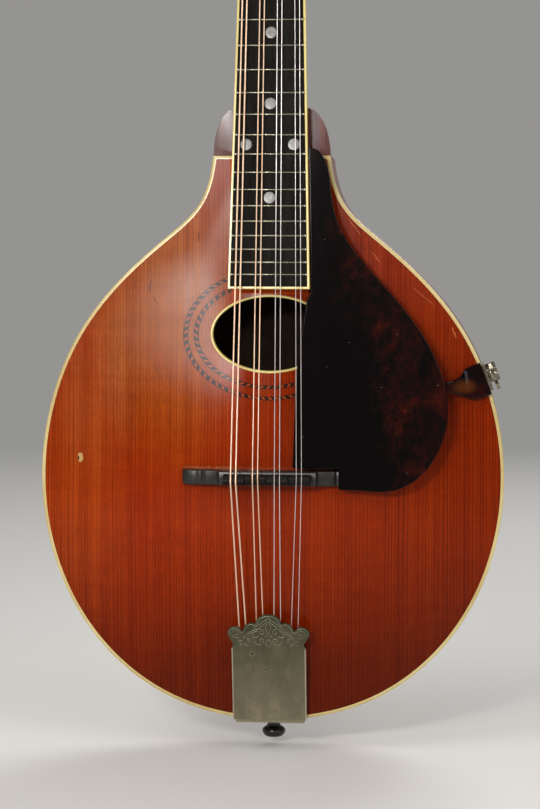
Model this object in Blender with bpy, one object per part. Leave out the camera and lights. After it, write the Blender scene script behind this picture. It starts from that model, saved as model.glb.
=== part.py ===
"""A-style mandolin with a carved top, an oval soundhole and a raised pickguard.

Body coordinates are in metres: X runs to the treble side, Y from front to back and Z up the neck.
Z is zero on the saddle line, and Y is zero on the front of the body's edge.
The finished model is hung so that the world origin is where a hanger holds the neck, behind the nut.
"""
import math

import bmesh
import bpy
import numpy as np
from mathutils import Matrix, Vector

# Fits
GAP = 0.0003
RUNNING_GAP = 0.0003

# Scale and neck
SCALE_LENGTH = 0.3524
FRET_COUNT = 20
JOIN_FRET = 12
NECK_ANGLE = math.radians(5.0)
HEAD_ANGLE = math.radians(14.0)

# Body outline
BOUT_HALF_WIDTH = 0.1279
SHOULDER_HALF_WIDTH = 0.0320
TAIL_LENGTH = 0.1367
UPPER_SHAPE = ((0.0, 1.0), (0.023, 0.926), (0.083, 0.848), (0.262, 0.750),
               (0.517, 0.626), (0.786, 0.438), (0.954, 0.203), (1.0, 0.0))
LOWER_SHAPE = ((0.952, 0.329), (0.776, 0.656), (0.465, 0.9005), (0.0, 1.0))
SIDE_STEPS = 28
END_STEPS = 4
FINE_STEPS = 240

# Body section
BODY_DEPTH = 0.0410
TOP_THICKNESS = 0.0040
BACK_THICKNESS = 0.0040
TOP_RISE = 0.0130
BACK_RISE = 0.0120
ARCH_EDGE = 0.93
ARCH_FULLNESS = 1.6
RIB_THICKNESS = 0.0025
LINING_WIDTH = 0.0060
LINING_DEPTH = 0.0065
BINDING_WIDTH = 0.0022
BINDING_DEPTH = 0.0057

# Soundhole
HOLE_TO_BOARD = 0.0033
HOLE_HALF_WIDTH = 0.0330
HOLE_HALF_HEIGHT = 0.0214
HOLE_BINDING = 0.0013
HOLE_BINDING_PROUD = 0.0002

# Inner blocks and brace
HEAD_BLOCK_LENGTH = 0.0320
TAIL_BLOCK_HALF_WIDTH = 0.0340
TAIL_BLOCK_LENGTH = 0.0160
TENON_HALF_WIDTH = 0.0080
TENON_LENGTH = 0.0120
TENON_DEPTH = 0.0240
TONE_BAR_TO_HOLE = 0.0107
TONE_BAR_HALF_LENGTH = 0.0950
TONE_BAR_WIDTH = 0.0080
TONE_BAR_HEIGHT = 0.0100
TONE_BAR_TIP_HEIGHT = 0.0035

# Fingerboard and nut
BOARD_RISE = 0.0110
BOARD_THICKNESS = 0.0055
BOARD_END_MARGIN = 0.0078
NUT_HALF_WIDTH = 0.01635
BOARD_END_HALF_WIDTH = 0.02225
BOARD_BINDING = 0.0013
FRET_WIDTH = 0.0011
FRET_HEIGHT = 0.0009
NUT_LENGTH = 0.0050
NUT_PROUD = 0.0006
RISER_INSET = 0.0025

# Neck shaft, heel and headstock
NECK_DEPTH = 0.0175
SHOULDER_DROP = 0.0006
SHOULDER_HEIGHT = 0.0258
SHOULDER_TOP_HALF_WIDTH = 0.0190
HEEL_HEIGHT = 0.0290
HEEL_SQUARENESS = 0.55
HEAD_LENGTH = 0.1160
HEAD_HALF_WIDTH = 0.0315
HEAD_THICKNESS = 0.0140
VENEER_THICKNESS = 0.0016
HEAD_SHAPE = ((0.56, 0.0), (0.62, 0.035), (0.86, 0.12), (0.95, 0.26), (0.97, 0.52),
              (1.02, 0.82), (0.90, 0.935), (0.50, 0.985), (0.0, 1.0))

# Tuning machines
TUNER_PITCH = 0.0230
FIRST_POST = 0.0220
POST_X = 0.0205
POST_RADIUS = 0.0030
POST_HEIGHT = 0.0110
POST_SIDES = 12
TUNER_PLATE_THICKNESS = 0.0010
TUNER_PLATE_HALF_WIDTH = 0.0078
TUNER_PLATE_MARGIN = 0.0125
GEAR_TEETH = 14
WORM_LEAD = 0.00224
WORM_RADIUS = 0.00205
WORM_THROW = 0.00055
WORM_HALF_LENGTH = 0.0028
GEAR_THICKNESS = 0.0026
GEAR_TIP_CLEARANCE = 0.00035
LUG_THICKNESS = 0.0012
JOURNAL_RADIUS = 0.0011
BUTTON_LENGTH = 0.0125
BUTTON_HALF_HEIGHT = 0.0072
BUTTON_HALF_THICKNESS = 0.0034
BUTTON_STANDOFF = 0.0040
SHAFT_SIDES = 8

# Strings, from the bass side to the treble side
STRING_RADII = (0.00050, 0.00050, 0.00033, 0.00033, 0.00020, 0.00020, 0.00014, 0.00014)
COURSE_PITCH_NUT = 0.00858
COURSE_PITCH_SADDLE = 0.01185
COURSE_PITCH_HOOK = 0.0090
PAIR_NUT = 0.0024
PAIR_SADDLE = 0.0028
PAIR_HOOK = 0.0039
STRING_LEVEL_NUT = 0.0014
STRING_LEVEL_SADDLE = 0.0041
WIND_LEVEL = 0.0040

# Bridge
BRIDGE_HALF_LENGTH = 0.0475
BRIDGE_WIDTH = 0.0083
BRIDGE_TOP_WIDTH = 0.0066
BRIDGE_HEIGHT = 0.0095
SADDLE_HALF_SPAN = 0.0262
SADDLE_WIDTH = 0.0052
SADDLE_CREST = 0.0014
SADDLE_OFFSETS = (-0.0010, 0.0005, -0.0008, 0.0006)
WING_SHAPE = ((1.0, 0.34), (0.94, 0.42), (0.925, 0.68), (0.82, 0.70), (0.79, 0.60),
              (0.76, 0.68), (0.60, 0.72))

# Pickguard and its supports
GUARD_RISE_SADDLE = 0.0200
GUARD_RISE_JOIN = 0.0100
GUARD_THICKNESS = 0.0018
GUARD_INNER_X = 0.0134
GUARD_FOOT_Z = 0.0056
GUARD_NOTCH_X = 0.0382
GUARD_EDGE = ((0.0209, 0.1799), (0.0272, 0.1767), (0.0312, 0.1695), (0.0329, 0.1580),
              (0.0349, 0.1454), (0.0416, 0.1297), (0.0522, 0.1161), (0.0654, 0.1011),
              (0.0807, 0.0820), (0.0909, 0.0640), (0.0961, 0.0482), (0.0966, 0.0288),
              (0.0906, 0.0122), (0.0792, -0.0009), (0.0648, -0.0065), (0.0504, -0.0060),
              (0.0387, -0.0058))
GUARD_EDGE_STEPS = 44
GUARD_PIN_Z = 0.1200
GUARD_PIN_RADIUS = 0.0008
GUARD_PIN_BLOCK = 0.0040

# Side clamp
CLAMP_Z = 0.0545
ARM_HALF_HEIGHT = 0.0092
ARM_TIP_HALF_HEIGHT = 0.0030
ARM_WIDE_LENGTH = 0.0100
ARM_OVERLAP = 0.0070
JAW_HALF_HEIGHT = 0.0075
JAW_THICKNESS = 0.0009
JAW_REACH = 0.0080
LUG_REACH = 0.0068
CLAMP_SCREW_OFFSET = 0.0044
CLAMP_SCREW_RADIUS = 0.0015
CLAMP_WING_HALF_LENGTH = 0.0074
CLAMP_WING_THICKNESS = 0.0018
JAW_SIDE_TO_BACK = 0.0150
BOSS_TO_BACK = 0.0130
BOSS_DEPTH = 0.0070
SCREW_TO_BACK = 0.0020

# Tailpiece and end pin
COVER_SLOPE = math.atan(0.2)
COVER_REACH = 0.0617
COVER_FRONT_RISE = 0.0164
COVER_THICKNESS = 0.0008
COVER_HALF_WIDTH = 0.0204
COVER_TAIL_MARGIN = 0.0008
FLANGE_DEPTH = 0.0056
CROWN_HALF_WIDTH = 0.0071
CROWN_HEIGHT = 0.0056
ARC_CENTRE = (0.0083, -0.0105)
ARC_RADIUS = 0.0059
EAR_CENTRE = (0.0184, -0.0112)
EAR_RADIUS = 0.0042
WAIST = (0.0194, -0.0174)
FLANGE_START = -0.0200
BASE_HALF_WIDTH = 0.0191
BASE_THICKNESS = 0.0010
BASE_SEAT = 0.0004
BASE_REACH = 0.0397
BASE_BEND_REACH = 0.0117
BASE_TAIL_Y = 0.0310
HOOK_REACH = 0.0327
HOOK_WIDTH = 0.0016
HOOK_LENGTH = 0.0012
HOOK_HEIGHT = 0.0037
HOOK_STRING_RISE = 0.0080
PIN_Y = 0.0220
PIN_RADIUS = 0.0038
PIN_PROFILE = ((0.0, 0.0052), (0.0018, 0.0052), (0.0030, 0.0036), (0.0062, 0.0040),
               (0.0078, 0.0066), (0.0098, 0.0066), (0.0112, 0.0058), (0.0122, 0.0040))
PIN_SHANK = 0.0135
PIN_SIDES = 20

# Finishes as colour, roughness and metallic
FINISHES = {
    "spruce": ((0.40, 0.105, 0.022), 0.32, 0.0),
    "birch": ((0.20, 0.055, 0.022), 0.30, 0.0),
    "mahogany": ((0.105, 0.030, 0.020), 0.28, 0.0),
    "bare_wood": ((0.55, 0.38, 0.20), 0.70, 0.0),
    "ebony": ((0.012, 0.011, 0.011), 0.35, 0.0),
    "cream": ((0.80, 0.62, 0.30), 0.35, 0.0),
    "ivoroid": ((0.75, 0.66, 0.47), 0.30, 0.0),
    "bone": ((0.78, 0.72, 0.58), 0.40, 0.0),
    "tortoise": ((0.030, 0.008, 0.004), 0.12, 0.0),
    "nickel": ((0.40, 0.38, 0.31), 0.35, 1.0),
    "steel": ((0.62, 0.62, 0.62), 0.25, 1.0),
    "bronze": ((0.62, 0.42, 0.26), 0.35, 1.0),
}

# Places worked out from the sizes above
JOIN_Z = SCALE_LENGTH * 2 ** (-JOIN_FRET / 12) * math.cos(NECK_ANGLE)
BODY_TOP = JOIN_Z - GAP
SADDLE_RUN = SCALE_LENGTH * 2 ** (-JOIN_FRET / 12)
NUT_RUN = SCALE_LENGTH - SADDLE_RUN
BOARD_OVERHANG = SADDLE_RUN - SCALE_LENGTH * 2 ** (-FRET_COUNT / 12) + BOARD_END_MARGIN
HOLE_Z = JOIN_Z - BOARD_OVERHANG * math.cos(NECK_ANGLE) - HOLE_TO_BOARD - HOLE_HALF_HEIGHT
TONE_BAR_Z = HOLE_Z - HOLE_HALF_HEIGHT - TONE_BAR_TO_HOLE
COVER_FRONT_Z = COVER_REACH - TAIL_LENGTH
BASE_FRONT_Z = BASE_REACH - TAIL_LENGTH
BASE_BEND_Z = BASE_BEND_REACH - TAIL_LENGTH
HOOK_Z = HOOK_REACH - TAIL_LENGTH
NECK_FRAME = (Matrix.Translation((0.0, -BOARD_RISE, JOIN_Z))
              @ Matrix.Rotation(-NECK_ANGLE, 4, "X"))
HEAD_RUN = NUT_RUN + NUT_LENGTH + 2 * GAP + VENEER_THICKNESS * math.sin(HEAD_ANGLE)
HEAD_FRAME = (NECK_FRAME
              @ Matrix.Translation((0.0, BOARD_THICKNESS - VENEER_THICKNESS, HEAD_RUN))
              @ Matrix.Rotation(-HEAD_ANGLE, 4, "X"))
COVER_FRAME = (Matrix.Translation((0.0, -COVER_FRONT_RISE, COVER_FRONT_Z))
               @ Matrix.Rotation(COVER_SLOPE, 4, "X"))
HANGER_POINT = NECK_FRAME @ Vector((0.0, BOARD_THICKNESS + NECK_DEPTH, NUT_RUN))


# Mesh and scene helpers

def clear_scene():
    for item in list(bpy.data.objects):
        bpy.data.objects.remove(item, do_unlink=True)


def new_empty(name, matrix, parent=None):
    empty = bpy.data.objects.new(name, None)
    empty.empty_display_size = 0.01
    bpy.context.collection.objects.link(empty)
    empty.parent = parent
    empty.matrix_local = matrix
    return empty


def new_material(name, finish):
    colour, roughness, metallic = FINISHES[finish]
    material = bpy.data.materials.new(name + "_finish")
    material.use_nodes = True
    shader = material.node_tree.nodes["Principled BSDF"]
    shader.inputs["Base Color"].default_value = (*colour, 1.0)
    shader.inputs["Roughness"].default_value = roughness
    shader.inputs["Metallic"].default_value = metallic
    material.diffuse_color = (*colour, 1.0)
    return material


def add_part(name, data, parent, finish, place=(0.0, 0.0, 0.0), turn=(0.0, 0.0, 0.0)):
    part = bpy.data.objects.new(name, data)
    bpy.context.collection.objects.link(part)
    part.parent = parent
    part.location = place
    part.rotation_euler = turn
    if finish:
        data.materials.append(new_material(name, finish))
    if data.id_type == "MESH":
        data.shade_smooth()
        data.set_sharp_from_angle(angle=math.radians(35.0))
    return part


def add_cutter(name, data, parent, place=(0.0, 0.0, 0.0)):
    cutter = add_part(name, data, parent, None, place)
    cutter.hide_render = True
    cutter.display_type = "WIRE"
    return cutter


def combine(part, other, operation):
    step = part.modifiers.new(operation.title() + "_" + other.name, "BOOLEAN")
    step.operation = operation
    step.solver = "EXACT"
    step.object = other


def mesh_from(name, points, faces):
    """Closed mesh with its faces pointing out."""
    mesh = bpy.data.meshes.new(name)
    mesh.from_pydata([tuple(point) for point in points], [], faces)
    shape = bmesh.new()
    shape.from_mesh(mesh)
    bmesh.ops.recalc_face_normals(shape, faces=shape.faces)
    if shape.calc_volume(signed=True) < 0:
        bmesh.ops.reverse_faces(shape, faces=shape.faces)
    shape.to_mesh(mesh)
    shape.free()
    return mesh


def loft(name, loops, wrap=False):
    """Skin over equal loops of points. It ends in flat caps, or runs round into itself."""
    count = len(loops[0])
    points = [point for loop in loops for point in loop]
    starts = list(range(0, len(points), count))
    pairs = list(zip(starts, starts[1:]))
    if wrap:
        pairs.append((starts[-1], 0))
    faces = []
    for first, second in pairs:
        for j in range(count):
            k = (j + 1) % count
            faces.append((first + j, first + k, second + k, second + j))
    if not wrap:
        faces.append(tuple(range(count)))
        faces.append(tuple(range(starts[-1], starts[-1] + count)))
    return mesh_from(name, points, faces)


def slab(name, outline, front, back):
    """Outline in X and Z, from one depth to another."""
    return loft(name, [[(x, front, z) for x, z in outline], [(x, back, z) for x, z in outline]])


def box(name, low, high):
    outline = ((low[0], low[2]), (high[0], low[2]), (high[0], high[2]), (low[0], high[2]))
    return slab(name, outline, low[1], high[1])


def ring(radius, sides, turn=0.0):
    steps = [turn + 2 * math.pi * k / sides for k in range(sides)]
    return [(radius * math.cos(a), radius * math.sin(a)) for a in steps]


def turned(name, profile, sides, axis):
    """Turned solid from pairs of distance along the axis and radius."""
    loops = []
    for along, radius in profile:
        circle = ring(radius, sides)
        if axis == "X":
            loops.append([(along, u, v) for u, v in circle])
        elif axis == "Y":
            loops.append([(u, along, v) for u, v in circle])
        else:
            loops.append([(u, v, along) for u, v in circle])
    return loft(name, loops)


def joined(name, meshes):
    """Several closed meshes in one, for a single cut or union."""
    shape = bmesh.new()
    for mesh in meshes:
        shape.from_mesh(mesh)
    whole = bpy.data.meshes.new(name)
    shape.to_mesh(whole)
    shape.free()
    return whole


def smooth_path(controls, count):
    """Points at equal steps along a natural cubic curve through the controls."""
    nodes = np.array(controls, dtype=float)
    last = len(nodes) - 1
    steps = np.linalg.norm(np.diff(nodes, axis=0), axis=1)
    knots = np.concatenate(([0.0], np.cumsum(steps)))
    system = np.eye(last + 1)
    right = np.zeros_like(nodes)
    for i in range(1, last):
        before, after = steps[i - 1], steps[i]
        system[i, i - 1:i + 2] = (before, 2 * (before + after), after)
        rise = (nodes[i + 1] - nodes[i]) / after - (nodes[i] - nodes[i - 1]) / before
        right[i] = 6 * rise
    bend = np.linalg.solve(system, right)
    fine = np.linspace(0.0, knots[-1], 40 * last + 1)
    part = np.clip(np.searchsorted(knots, fine, side="right") - 1, 0, last - 1)
    span = steps[part][:, None]
    ahead = (knots[part + 1] - fine)[:, None]
    behind = (fine - knots[part])[:, None]
    curve = (bend[part] * ahead ** 3 + bend[part + 1] * behind ** 3) / (6 * span)
    curve += (nodes[part] / span - bend[part] * span / 6) * ahead
    curve += (nodes[part + 1] / span - bend[part + 1] * span / 6) * behind
    walked = np.concatenate(([0.0], np.cumsum(np.linalg.norm(np.diff(curve, axis=0), axis=1))))
    wanted = np.linspace(0.0, walked[-1], count)
    return np.column_stack([np.interp(wanted, walked, curve[:, k]) for k in range(2)])


# Body outline and arch

def outline_controls():
    spread = BOUT_HALF_WIDTH - SHOULDER_HALF_WIDTH
    upper = [(SHOULDER_HALF_WIDTH + spread * u, BODY_TOP * v) for u, v in UPPER_SHAPE]
    lower = [(BOUT_HALF_WIDTH * u, -TAIL_LENGTH * v) for u, v in LOWER_SHAPE]
    right = upper + lower
    return right + [(-x, z) for x, z in reversed(right[:-1])]


def side_path(inset, count):
    """The body's edge from the treble shoulder round the tail to the bass shoulder."""
    path = smooth_path(outline_controls(), count)
    along = np.gradient(path, axis=0)
    along /= np.linalg.norm(along, axis=1)[:, None]
    inward = np.column_stack((along[:, 1], -along[:, 0]))
    moved = path + inset * inward
    moved[:, 1] = np.minimum(moved[:, 1], BODY_TOP - inset)
    return moved


def closed_outline(inset):
    path = side_path(inset, 2 * SIDE_STEPS + 1)
    left, right = path[-1], path[0]
    across = [left + (right - left) * k / END_STEPS for k in range(1, END_STEPS)]
    return np.vstack([path] + [across])


EDGE = side_path(0.0, FINE_STEPS + 1)[:FINE_STEPS // 2 + 1]
EDGE_ANGLES = np.arctan2(EDGE[:, 0], EDGE[:, 1])
EDGE_RADII = np.linalg.norm(EDGE, axis=1)


def arch(x, z):
    """Height of the carved arch, from 0 at the edge to 1 over the saddle line."""
    angle = math.atan2(abs(x), z)
    if angle < EDGE_ANGLES[0]:
        reach = BODY_TOP / math.cos(angle)
    else:
        reach = float(np.interp(angle, EDGE_ANGLES, EDGE_RADII))
    share = math.hypot(x, z) / (reach * ARCH_EDGE)
    return (1.0 - share ** 2) ** ARCH_FULLNESS if share < 1.0 else 0.0


def top_outside(x, z):
    return -TOP_RISE * arch(x, z)


def top_inside(x, z):
    return TOP_THICKNESS + top_outside(x, z)


def back_outside(x, z):
    return BODY_DEPTH + BACK_RISE * arch(x, z)


def back_inside(x, z):
    return back_outside(x, z) - BACK_THICKNESS


def inner_half_width(z, inset):
    """Half the width between the sides at a height above the saddle line."""
    path = side_path(inset, FINE_STEPS + 1)[:FINE_STEPS // 2 + 1]
    upper = path[path[:, 1] >= 0.0][::-1]
    return float(np.interp(z, upper[:, 1], upper[:, 0]))


def inner_tail(x, inset):
    path = side_path(inset, FINE_STEPS + 1)[:FINE_STEPS // 2 + 1]
    lower = path[path[:, 1] < 0.0][::-1]
    return float(np.interp(abs(x), lower[:, 0], lower[:, 1]))


# Plates, ribs and linings

def between(outer, inner, share):
    return [a + (b - a) * share for a, b in zip(outer, inner)]


def hole_loop(outline, half_width, half_height):
    """Points on the oval, each on the spoke to its point of the body's outline."""
    loop = []
    for x, z in outline:
        angle = math.atan2((z - HOLE_Z) / half_height, x / half_width)
        loop.append(np.array((half_width * math.cos(angle),
                              HOLE_Z + half_height * math.sin(angle))))
    return loop


def split_quads(mesh):
    """The same two triangles for each curved quad, here and in the cutter made from it."""
    shape = bmesh.new()
    shape.from_mesh(mesh)
    quads = [face for face in shape.faces if len(face.verts) == 4]
    bmesh.ops.triangulate(shape, faces=quads, quad_method="SHORT_EDGE")
    shape.to_mesh(mesh)
    shape.free()
    return mesh


def top_rings():
    outer = list(closed_outline(BINDING_WIDTH + GAP))
    inner = hole_loop(outer, HOLE_HALF_WIDTH + GAP, HOLE_HALF_HEIGHT + GAP)
    shares = (0.0, 0.06, 0.14, 0.25, 0.39, 0.54, 0.70, 0.86, 1.0)
    return [between(outer, inner, share) for share in shares]


def back_rings():
    outer = closed_outline(0.0)
    return [outer * share for share in (0.10, 0.35, 0.55, 0.72, 0.85, 0.94, 1.0)]


def lifted(points, height, shift):
    return [(x, height(x, z) + shift, z) for x, z in points]


def level(points, depth):
    return [(x, depth, z) for x, z in points]


def make_top(frame):
    rings = top_rings()
    loops = [lifted(points, top_outside, 0.0) for points in rings]
    loops += [lifted(points, top_inside, 0.0) for points in reversed(rings)]
    plate = split_quads(loft("top_plate", loops, wrap=True))
    add_part("top_plate", plate, frame, "spruce")


def make_back(frame):
    rings = back_rings()
    loops = [level(rings[0], back_inside(0.0, 0.0))]
    loops += [lifted(points, back_inside, 0.0) for points in rings[1:]]
    loops += [lifted(points, back_outside, 0.0) for points in reversed(rings[1:])]
    loops.append(level(rings[0], back_outside(0.0, 0.0)))
    plate = split_quads(loft("back_plate", loops))
    add_part("back_plate", plate, frame, "birch")


def make_beds(frame):
    """Cutters that fit the pieces glued to the plates, a gap away from the plates' own faces."""
    far = 0.06
    rings = top_rings()
    wide = closed_outline(-0.001)
    loops = [level(wide, far), level(wide, -GAP)]
    loops += [lifted(points, top_outside, -GAP) for points in rings]
    loops.append(level(rings[-1], far))
    on_top = add_cutter("on_top", split_quads(loft("on_top", loops, wrap=True)), frame)
    loops = [level(rings[0], -far)] + [lifted(points, top_inside, GAP) for points in rings]
    loops.append(level(rings[-1], -far))
    under_top = add_cutter("under_top", split_quads(loft("under_top", loops, wrap=True)), frame)
    rings = back_rings()
    loops = [level(rings[0], back_inside(0.0, 0.0) - GAP)]
    loops += [lifted(points, back_inside, -GAP) for points in rings[1:]]
    loops.append(level(rings[-1], BODY_DEPTH + far))
    in_back = add_cutter("in_back", split_quads(loft("in_back", loops)), frame)
    return on_top, under_top, in_back


def side_strip(name, side, insets, depths, ends, frame, finish):
    """Strip of wood bent along one side, from a height on the neck side to a width at the tail."""
    lines = []
    for inset in insets:
        path = side_path(inset, FINE_STEPS + 1)[:FINE_STEPS // 2 + 1]
        steps = np.arange(len(path))
        tail = steps[path[:, 1] < 0.0]
        start = np.interp(-ends[0], -path[:, 1], steps)
        stop = np.interp(-ends[1], -path[tail, 0], tail)
        wanted = np.linspace(start, stop, SIDE_STEPS + 1)
        lines.append([(side * np.interp(step, steps, path[:, 0]),
                       np.interp(step, steps, path[:, 1])) for step in wanted])
    loops = []
    for (xa, za), (xb, zb) in zip(*lines):
        loops.append([(xa, depths[0], za), (xb, depths[0], zb),
                      (xb, depths[1], zb), (xa, depths[1], za)])
    return add_part(name, loft(name, loops), frame, finish)


def make_sides(frame):
    rib_front = BINDING_DEPTH + GAP
    rib_back = BODY_DEPTH - BACK_THICKNESS - GAP
    rib_insets = (0.0, RIB_THICKNESS)
    rib_ends = (BODY_TOP, GAP / 2)
    lining_insets = (RIB_THICKNESS + GAP, RIB_THICKNESS + GAP + LINING_WIDTH)
    lining_ends = (BODY_TOP - HEAD_BLOCK_LENGTH - GAP, TAIL_BLOCK_HALF_WIDTH + GAP)
    top_start = TOP_THICKNESS + GAP
    back_end = BODY_DEPTH - BACK_THICKNESS - GAP
    ribs = []
    for label, side in (("bass", -1), ("treble", 1)):
        ribs.append(side_strip(label + "_rib", side, rib_insets, (rib_front, rib_back),
                               rib_ends, frame, "birch"))
        side_strip(label + "_top_lining", side, lining_insets,
                   (top_start, top_start + LINING_DEPTH), lining_ends, frame, "bare_wood")
        side_strip(label + "_back_lining", side, lining_insets,
                   (back_end - LINING_DEPTH, back_end), lining_ends, frame, "bare_wood")
    return ribs


def make_head_block(frame, under_top, in_back):
    """Block between the ribs that the neck's tenon sits in."""
    inset = RIB_THICKNESS + 2 * GAP
    step_z = BODY_TOP - BINDING_WIDTH - 2 * GAP
    heights = list(np.linspace(BODY_TOP - HEAD_BLOCK_LENGTH, step_z, 4)) + [step_z + GAP, BODY_TOP]
    loops = []
    for z in heights:
        half = inner_half_width(min(z, BODY_TOP - inset), inset)
        front = top_inside(0.0, z) - 0.001 if z <= step_z else BINDING_DEPTH + GAP
        back = back_inside(0.0, z) + 0.001
        loops.append([(-half, front, z), (half, front, z), (half, back, z), (-half, back, z)])
    block = add_part("head_block", loft("head_block", loops), frame, "bare_wood")
    combine(block, under_top, "DIFFERENCE")
    combine(block, in_back, "DIFFERENCE")
    pocket = box("tenon_pocket",
                 (-TENON_HALF_WIDTH - GAP, tenon_front() - GAP, BODY_TOP - TENON_LENGTH - GAP),
                 (TENON_HALF_WIDTH + GAP, tenon_front() + TENON_DEPTH + GAP, BODY_TOP + 0.01))
    combine(block, add_cutter("tenon_pocket", pocket, frame), "DIFFERENCE")


def tenon_front():
    return (BODY_DEPTH - TENON_DEPTH) / 2


def make_tail_block(frame, under_top, in_back):
    inset = RIB_THICKNESS + 2 * GAP
    high = -TAIL_LENGTH + TAIL_BLOCK_LENGTH + inset
    front, back = top_inside(0.0, high) - 0.001, back_inside(0.0, high) + 0.001
    loops = []
    for x in np.linspace(-TAIL_BLOCK_HALF_WIDTH, TAIL_BLOCK_HALF_WIDTH, 9):
        low = inner_tail(x, inset)
        loops.append([(x, front, low), (x, front, high), (x, back, high), (x, back, low)])
    block = add_part("tail_block", loft("tail_block", loops), frame, "bare_wood")
    combine(block, under_top, "DIFFERENCE")
    combine(block, in_back, "DIFFERENCE")
    return block


def make_tone_bar(frame, under_top):
    loops = []
    low, high = TONE_BAR_Z - TONE_BAR_WIDTH / 2, TONE_BAR_Z + TONE_BAR_WIDTH / 2
    for share in np.linspace(-1.0, 1.0, 11):
        x = share * TONE_BAR_HALF_LENGTH
        height = TONE_BAR_TIP_HEIGHT + (TONE_BAR_HEIGHT - TONE_BAR_TIP_HEIGHT) * (1 - share ** 2)
        front = top_inside(x, TONE_BAR_Z)
        loops.append([(x, front - 0.0015, low), (x, front - 0.0015, high),
                      (x, front + height, high), (x, front + height, low)])
    bar = add_part("tone_bar", loft("tone_bar", loops), frame, "bare_wood")
    combine(bar, under_top, "DIFFERENCE")


def make_body_binding(frame):
    outer, inner = closed_outline(0.0), closed_outline(BINDING_WIDTH)
    loops = [[(x, depth, z) for x, z in line] for line, depth in
             ((outer, 0.0), (inner, 0.0), (inner, BINDING_DEPTH), (outer, BINDING_DEPTH))]
    add_part("body_binding", loft("body_binding", loops, wrap=True), frame, "cream")


def make_hole_binding(frame):
    sides = 36
    outer = [(HOLE_HALF_WIDTH * u, HOLE_Z + HOLE_HALF_HEIGHT * v) for u, v in ring(1.0, sides)]
    inner = [((HOLE_HALF_WIDTH - HOLE_BINDING) * u, HOLE_Z + (HOLE_HALF_HEIGHT - HOLE_BINDING) * v)
             for u, v in ring(1.0, sides)]
    loops = [[(x, top_outside(x, z) - HOLE_BINDING_PROUD, z) for x, z in outer],
             [(x, top_outside(x, z) - HOLE_BINDING_PROUD, z) for x, z in inner],
             [(x, top_inside(x, z), z) for x, z in inner],
             [(x, top_inside(x, z), z) for x, z in outer]]
    add_part("soundhole_binding", loft("soundhole_binding", loops, wrap=True), frame, "cream")


# Fingerboard, nut and riser

def board_half_width(run):
    """Half the board's width at a place along the neck frame."""
    whole = NUT_RUN + BOARD_OVERHANG
    share = (run + BOARD_OVERHANG) / whole
    return BOARD_END_HALF_WIDTH + (NUT_HALF_WIDTH - BOARD_END_HALF_WIDTH) * share


def fret_run(number):
    return SCALE_LENGTH * 2 ** (-number / 12) - SADDLE_RUN


def board_underside(z):
    """Depth of the board's back face in body coordinates."""
    flat = -BOARD_RISE + math.tan(NECK_ANGLE) * (z - JOIN_Z)
    return flat + BOARD_THICKNESS / math.cos(NECK_ANGLE)


def make_fingerboard(neck):
    """Ebony board whose side profile carries the frets."""
    low, high = -BOARD_OVERHANG + BOARD_BINDING + GAP, NUT_RUN
    profile = [(low, 0.0)]
    for number in range(FRET_COUNT, 0, -1):
        run = fret_run(number)
        profile += [(run - FRET_WIDTH / 2, 0.0), (run - FRET_WIDTH / 4, -FRET_HEIGHT),
                    (run + FRET_WIDTH / 4, -FRET_HEIGHT), (run + FRET_WIDTH / 2, 0.0)]
    profile += [(high, 0.0), (high, BOARD_THICKNESS), (low, BOARD_THICKNESS)]
    loops = []
    for side in (-1, 1):
        edge = BOARD_BINDING + GAP
        loops.append([(side * (board_half_width(run) - edge), depth, run)
                      for run, depth in profile])
    add_part("fingerboard", loft("fingerboard", loops), neck, "ebony")

    outline = []
    for inset in (0.0, BOARD_BINDING):
        foot = -BOARD_OVERHANG + inset
        corners = [(-board_half_width(high) + inset, high), (-board_half_width(foot) + inset, foot),
                   (board_half_width(foot) - inset, foot), (board_half_width(high) - inset, high)]
        outline += corners if inset == 0.0 else reversed(corners)
    binding = slab("fingerboard_binding", outline, 0.0, BOARD_THICKNESS)
    add_part("fingerboard_binding", binding, neck, "cream")


def string_x(number, pitch, pair):
    course, member = divmod(number, 2)
    return (course - 1.5) * pitch + (member - 0.5) * pair


def make_nut(neck):
    """Nut with a slot under each string."""
    crest = -STRING_LEVEL_NUT - NUT_PROUD
    half = board_half_width(NUT_RUN)
    outline = [(-half, BOARD_THICKNESS), (-half, crest)]
    for number, radius in enumerate(STRING_RADII):
        x = string_x(number, COURSE_PITCH_NUT, PAIR_NUT)
        floor = -STRING_LEVEL_NUT + GAP
        outline += [(x - radius - GAP, crest), (x - radius - GAP, floor),
                    (x + radius + GAP, floor), (x + radius + GAP, crest)]
    outline += [(half, crest), (half, BOARD_THICKNESS)]
    start = NUT_RUN + GAP
    loops = [[(x, y, run) for x, y in outline] for run in (start, start + NUT_LENGTH)]
    add_part("nut", loft("nut", loops), neck, "bone")


def make_riser(frame, on_top):
    """Wedge that carries the free end of the board over the carved top."""
    foot = JOIN_Z - BOARD_OVERHANG * math.cos(NECK_ANGLE) + 0.0015
    loops = []
    for z in (foot, BODY_TOP):
        half = board_half_width((z - JOIN_Z) / math.cos(NECK_ANGLE)) - RISER_INSET
        front = board_underside(z) + GAP
        loops.append([(-half, front, z), (half, front, z), (half, 0.002, z), (-half, 0.002, z)])
    riser = add_part("fingerboard_riser", loft("fingerboard_riser", loops), frame, "mahogany")
    combine(riser, on_top, "DIFFERENCE")
    return riser


# Neck and headstock

def rounded_section(half, front, depth, squareness, count=14):
    """Section with a flat front and a round back, as pairs of X and Y."""
    loop = []
    for k in range(count):
        angle = math.pi * k / (count - 1)
        u, v = math.cos(angle), math.sin(angle)
        x = half * math.copysign(abs(u) ** squareness, u)
        loop.append((x, front + depth * (0.12 + 0.88 * abs(v) ** squareness)))
    return [(half, front)] + loop + [(-half, front)]


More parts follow.
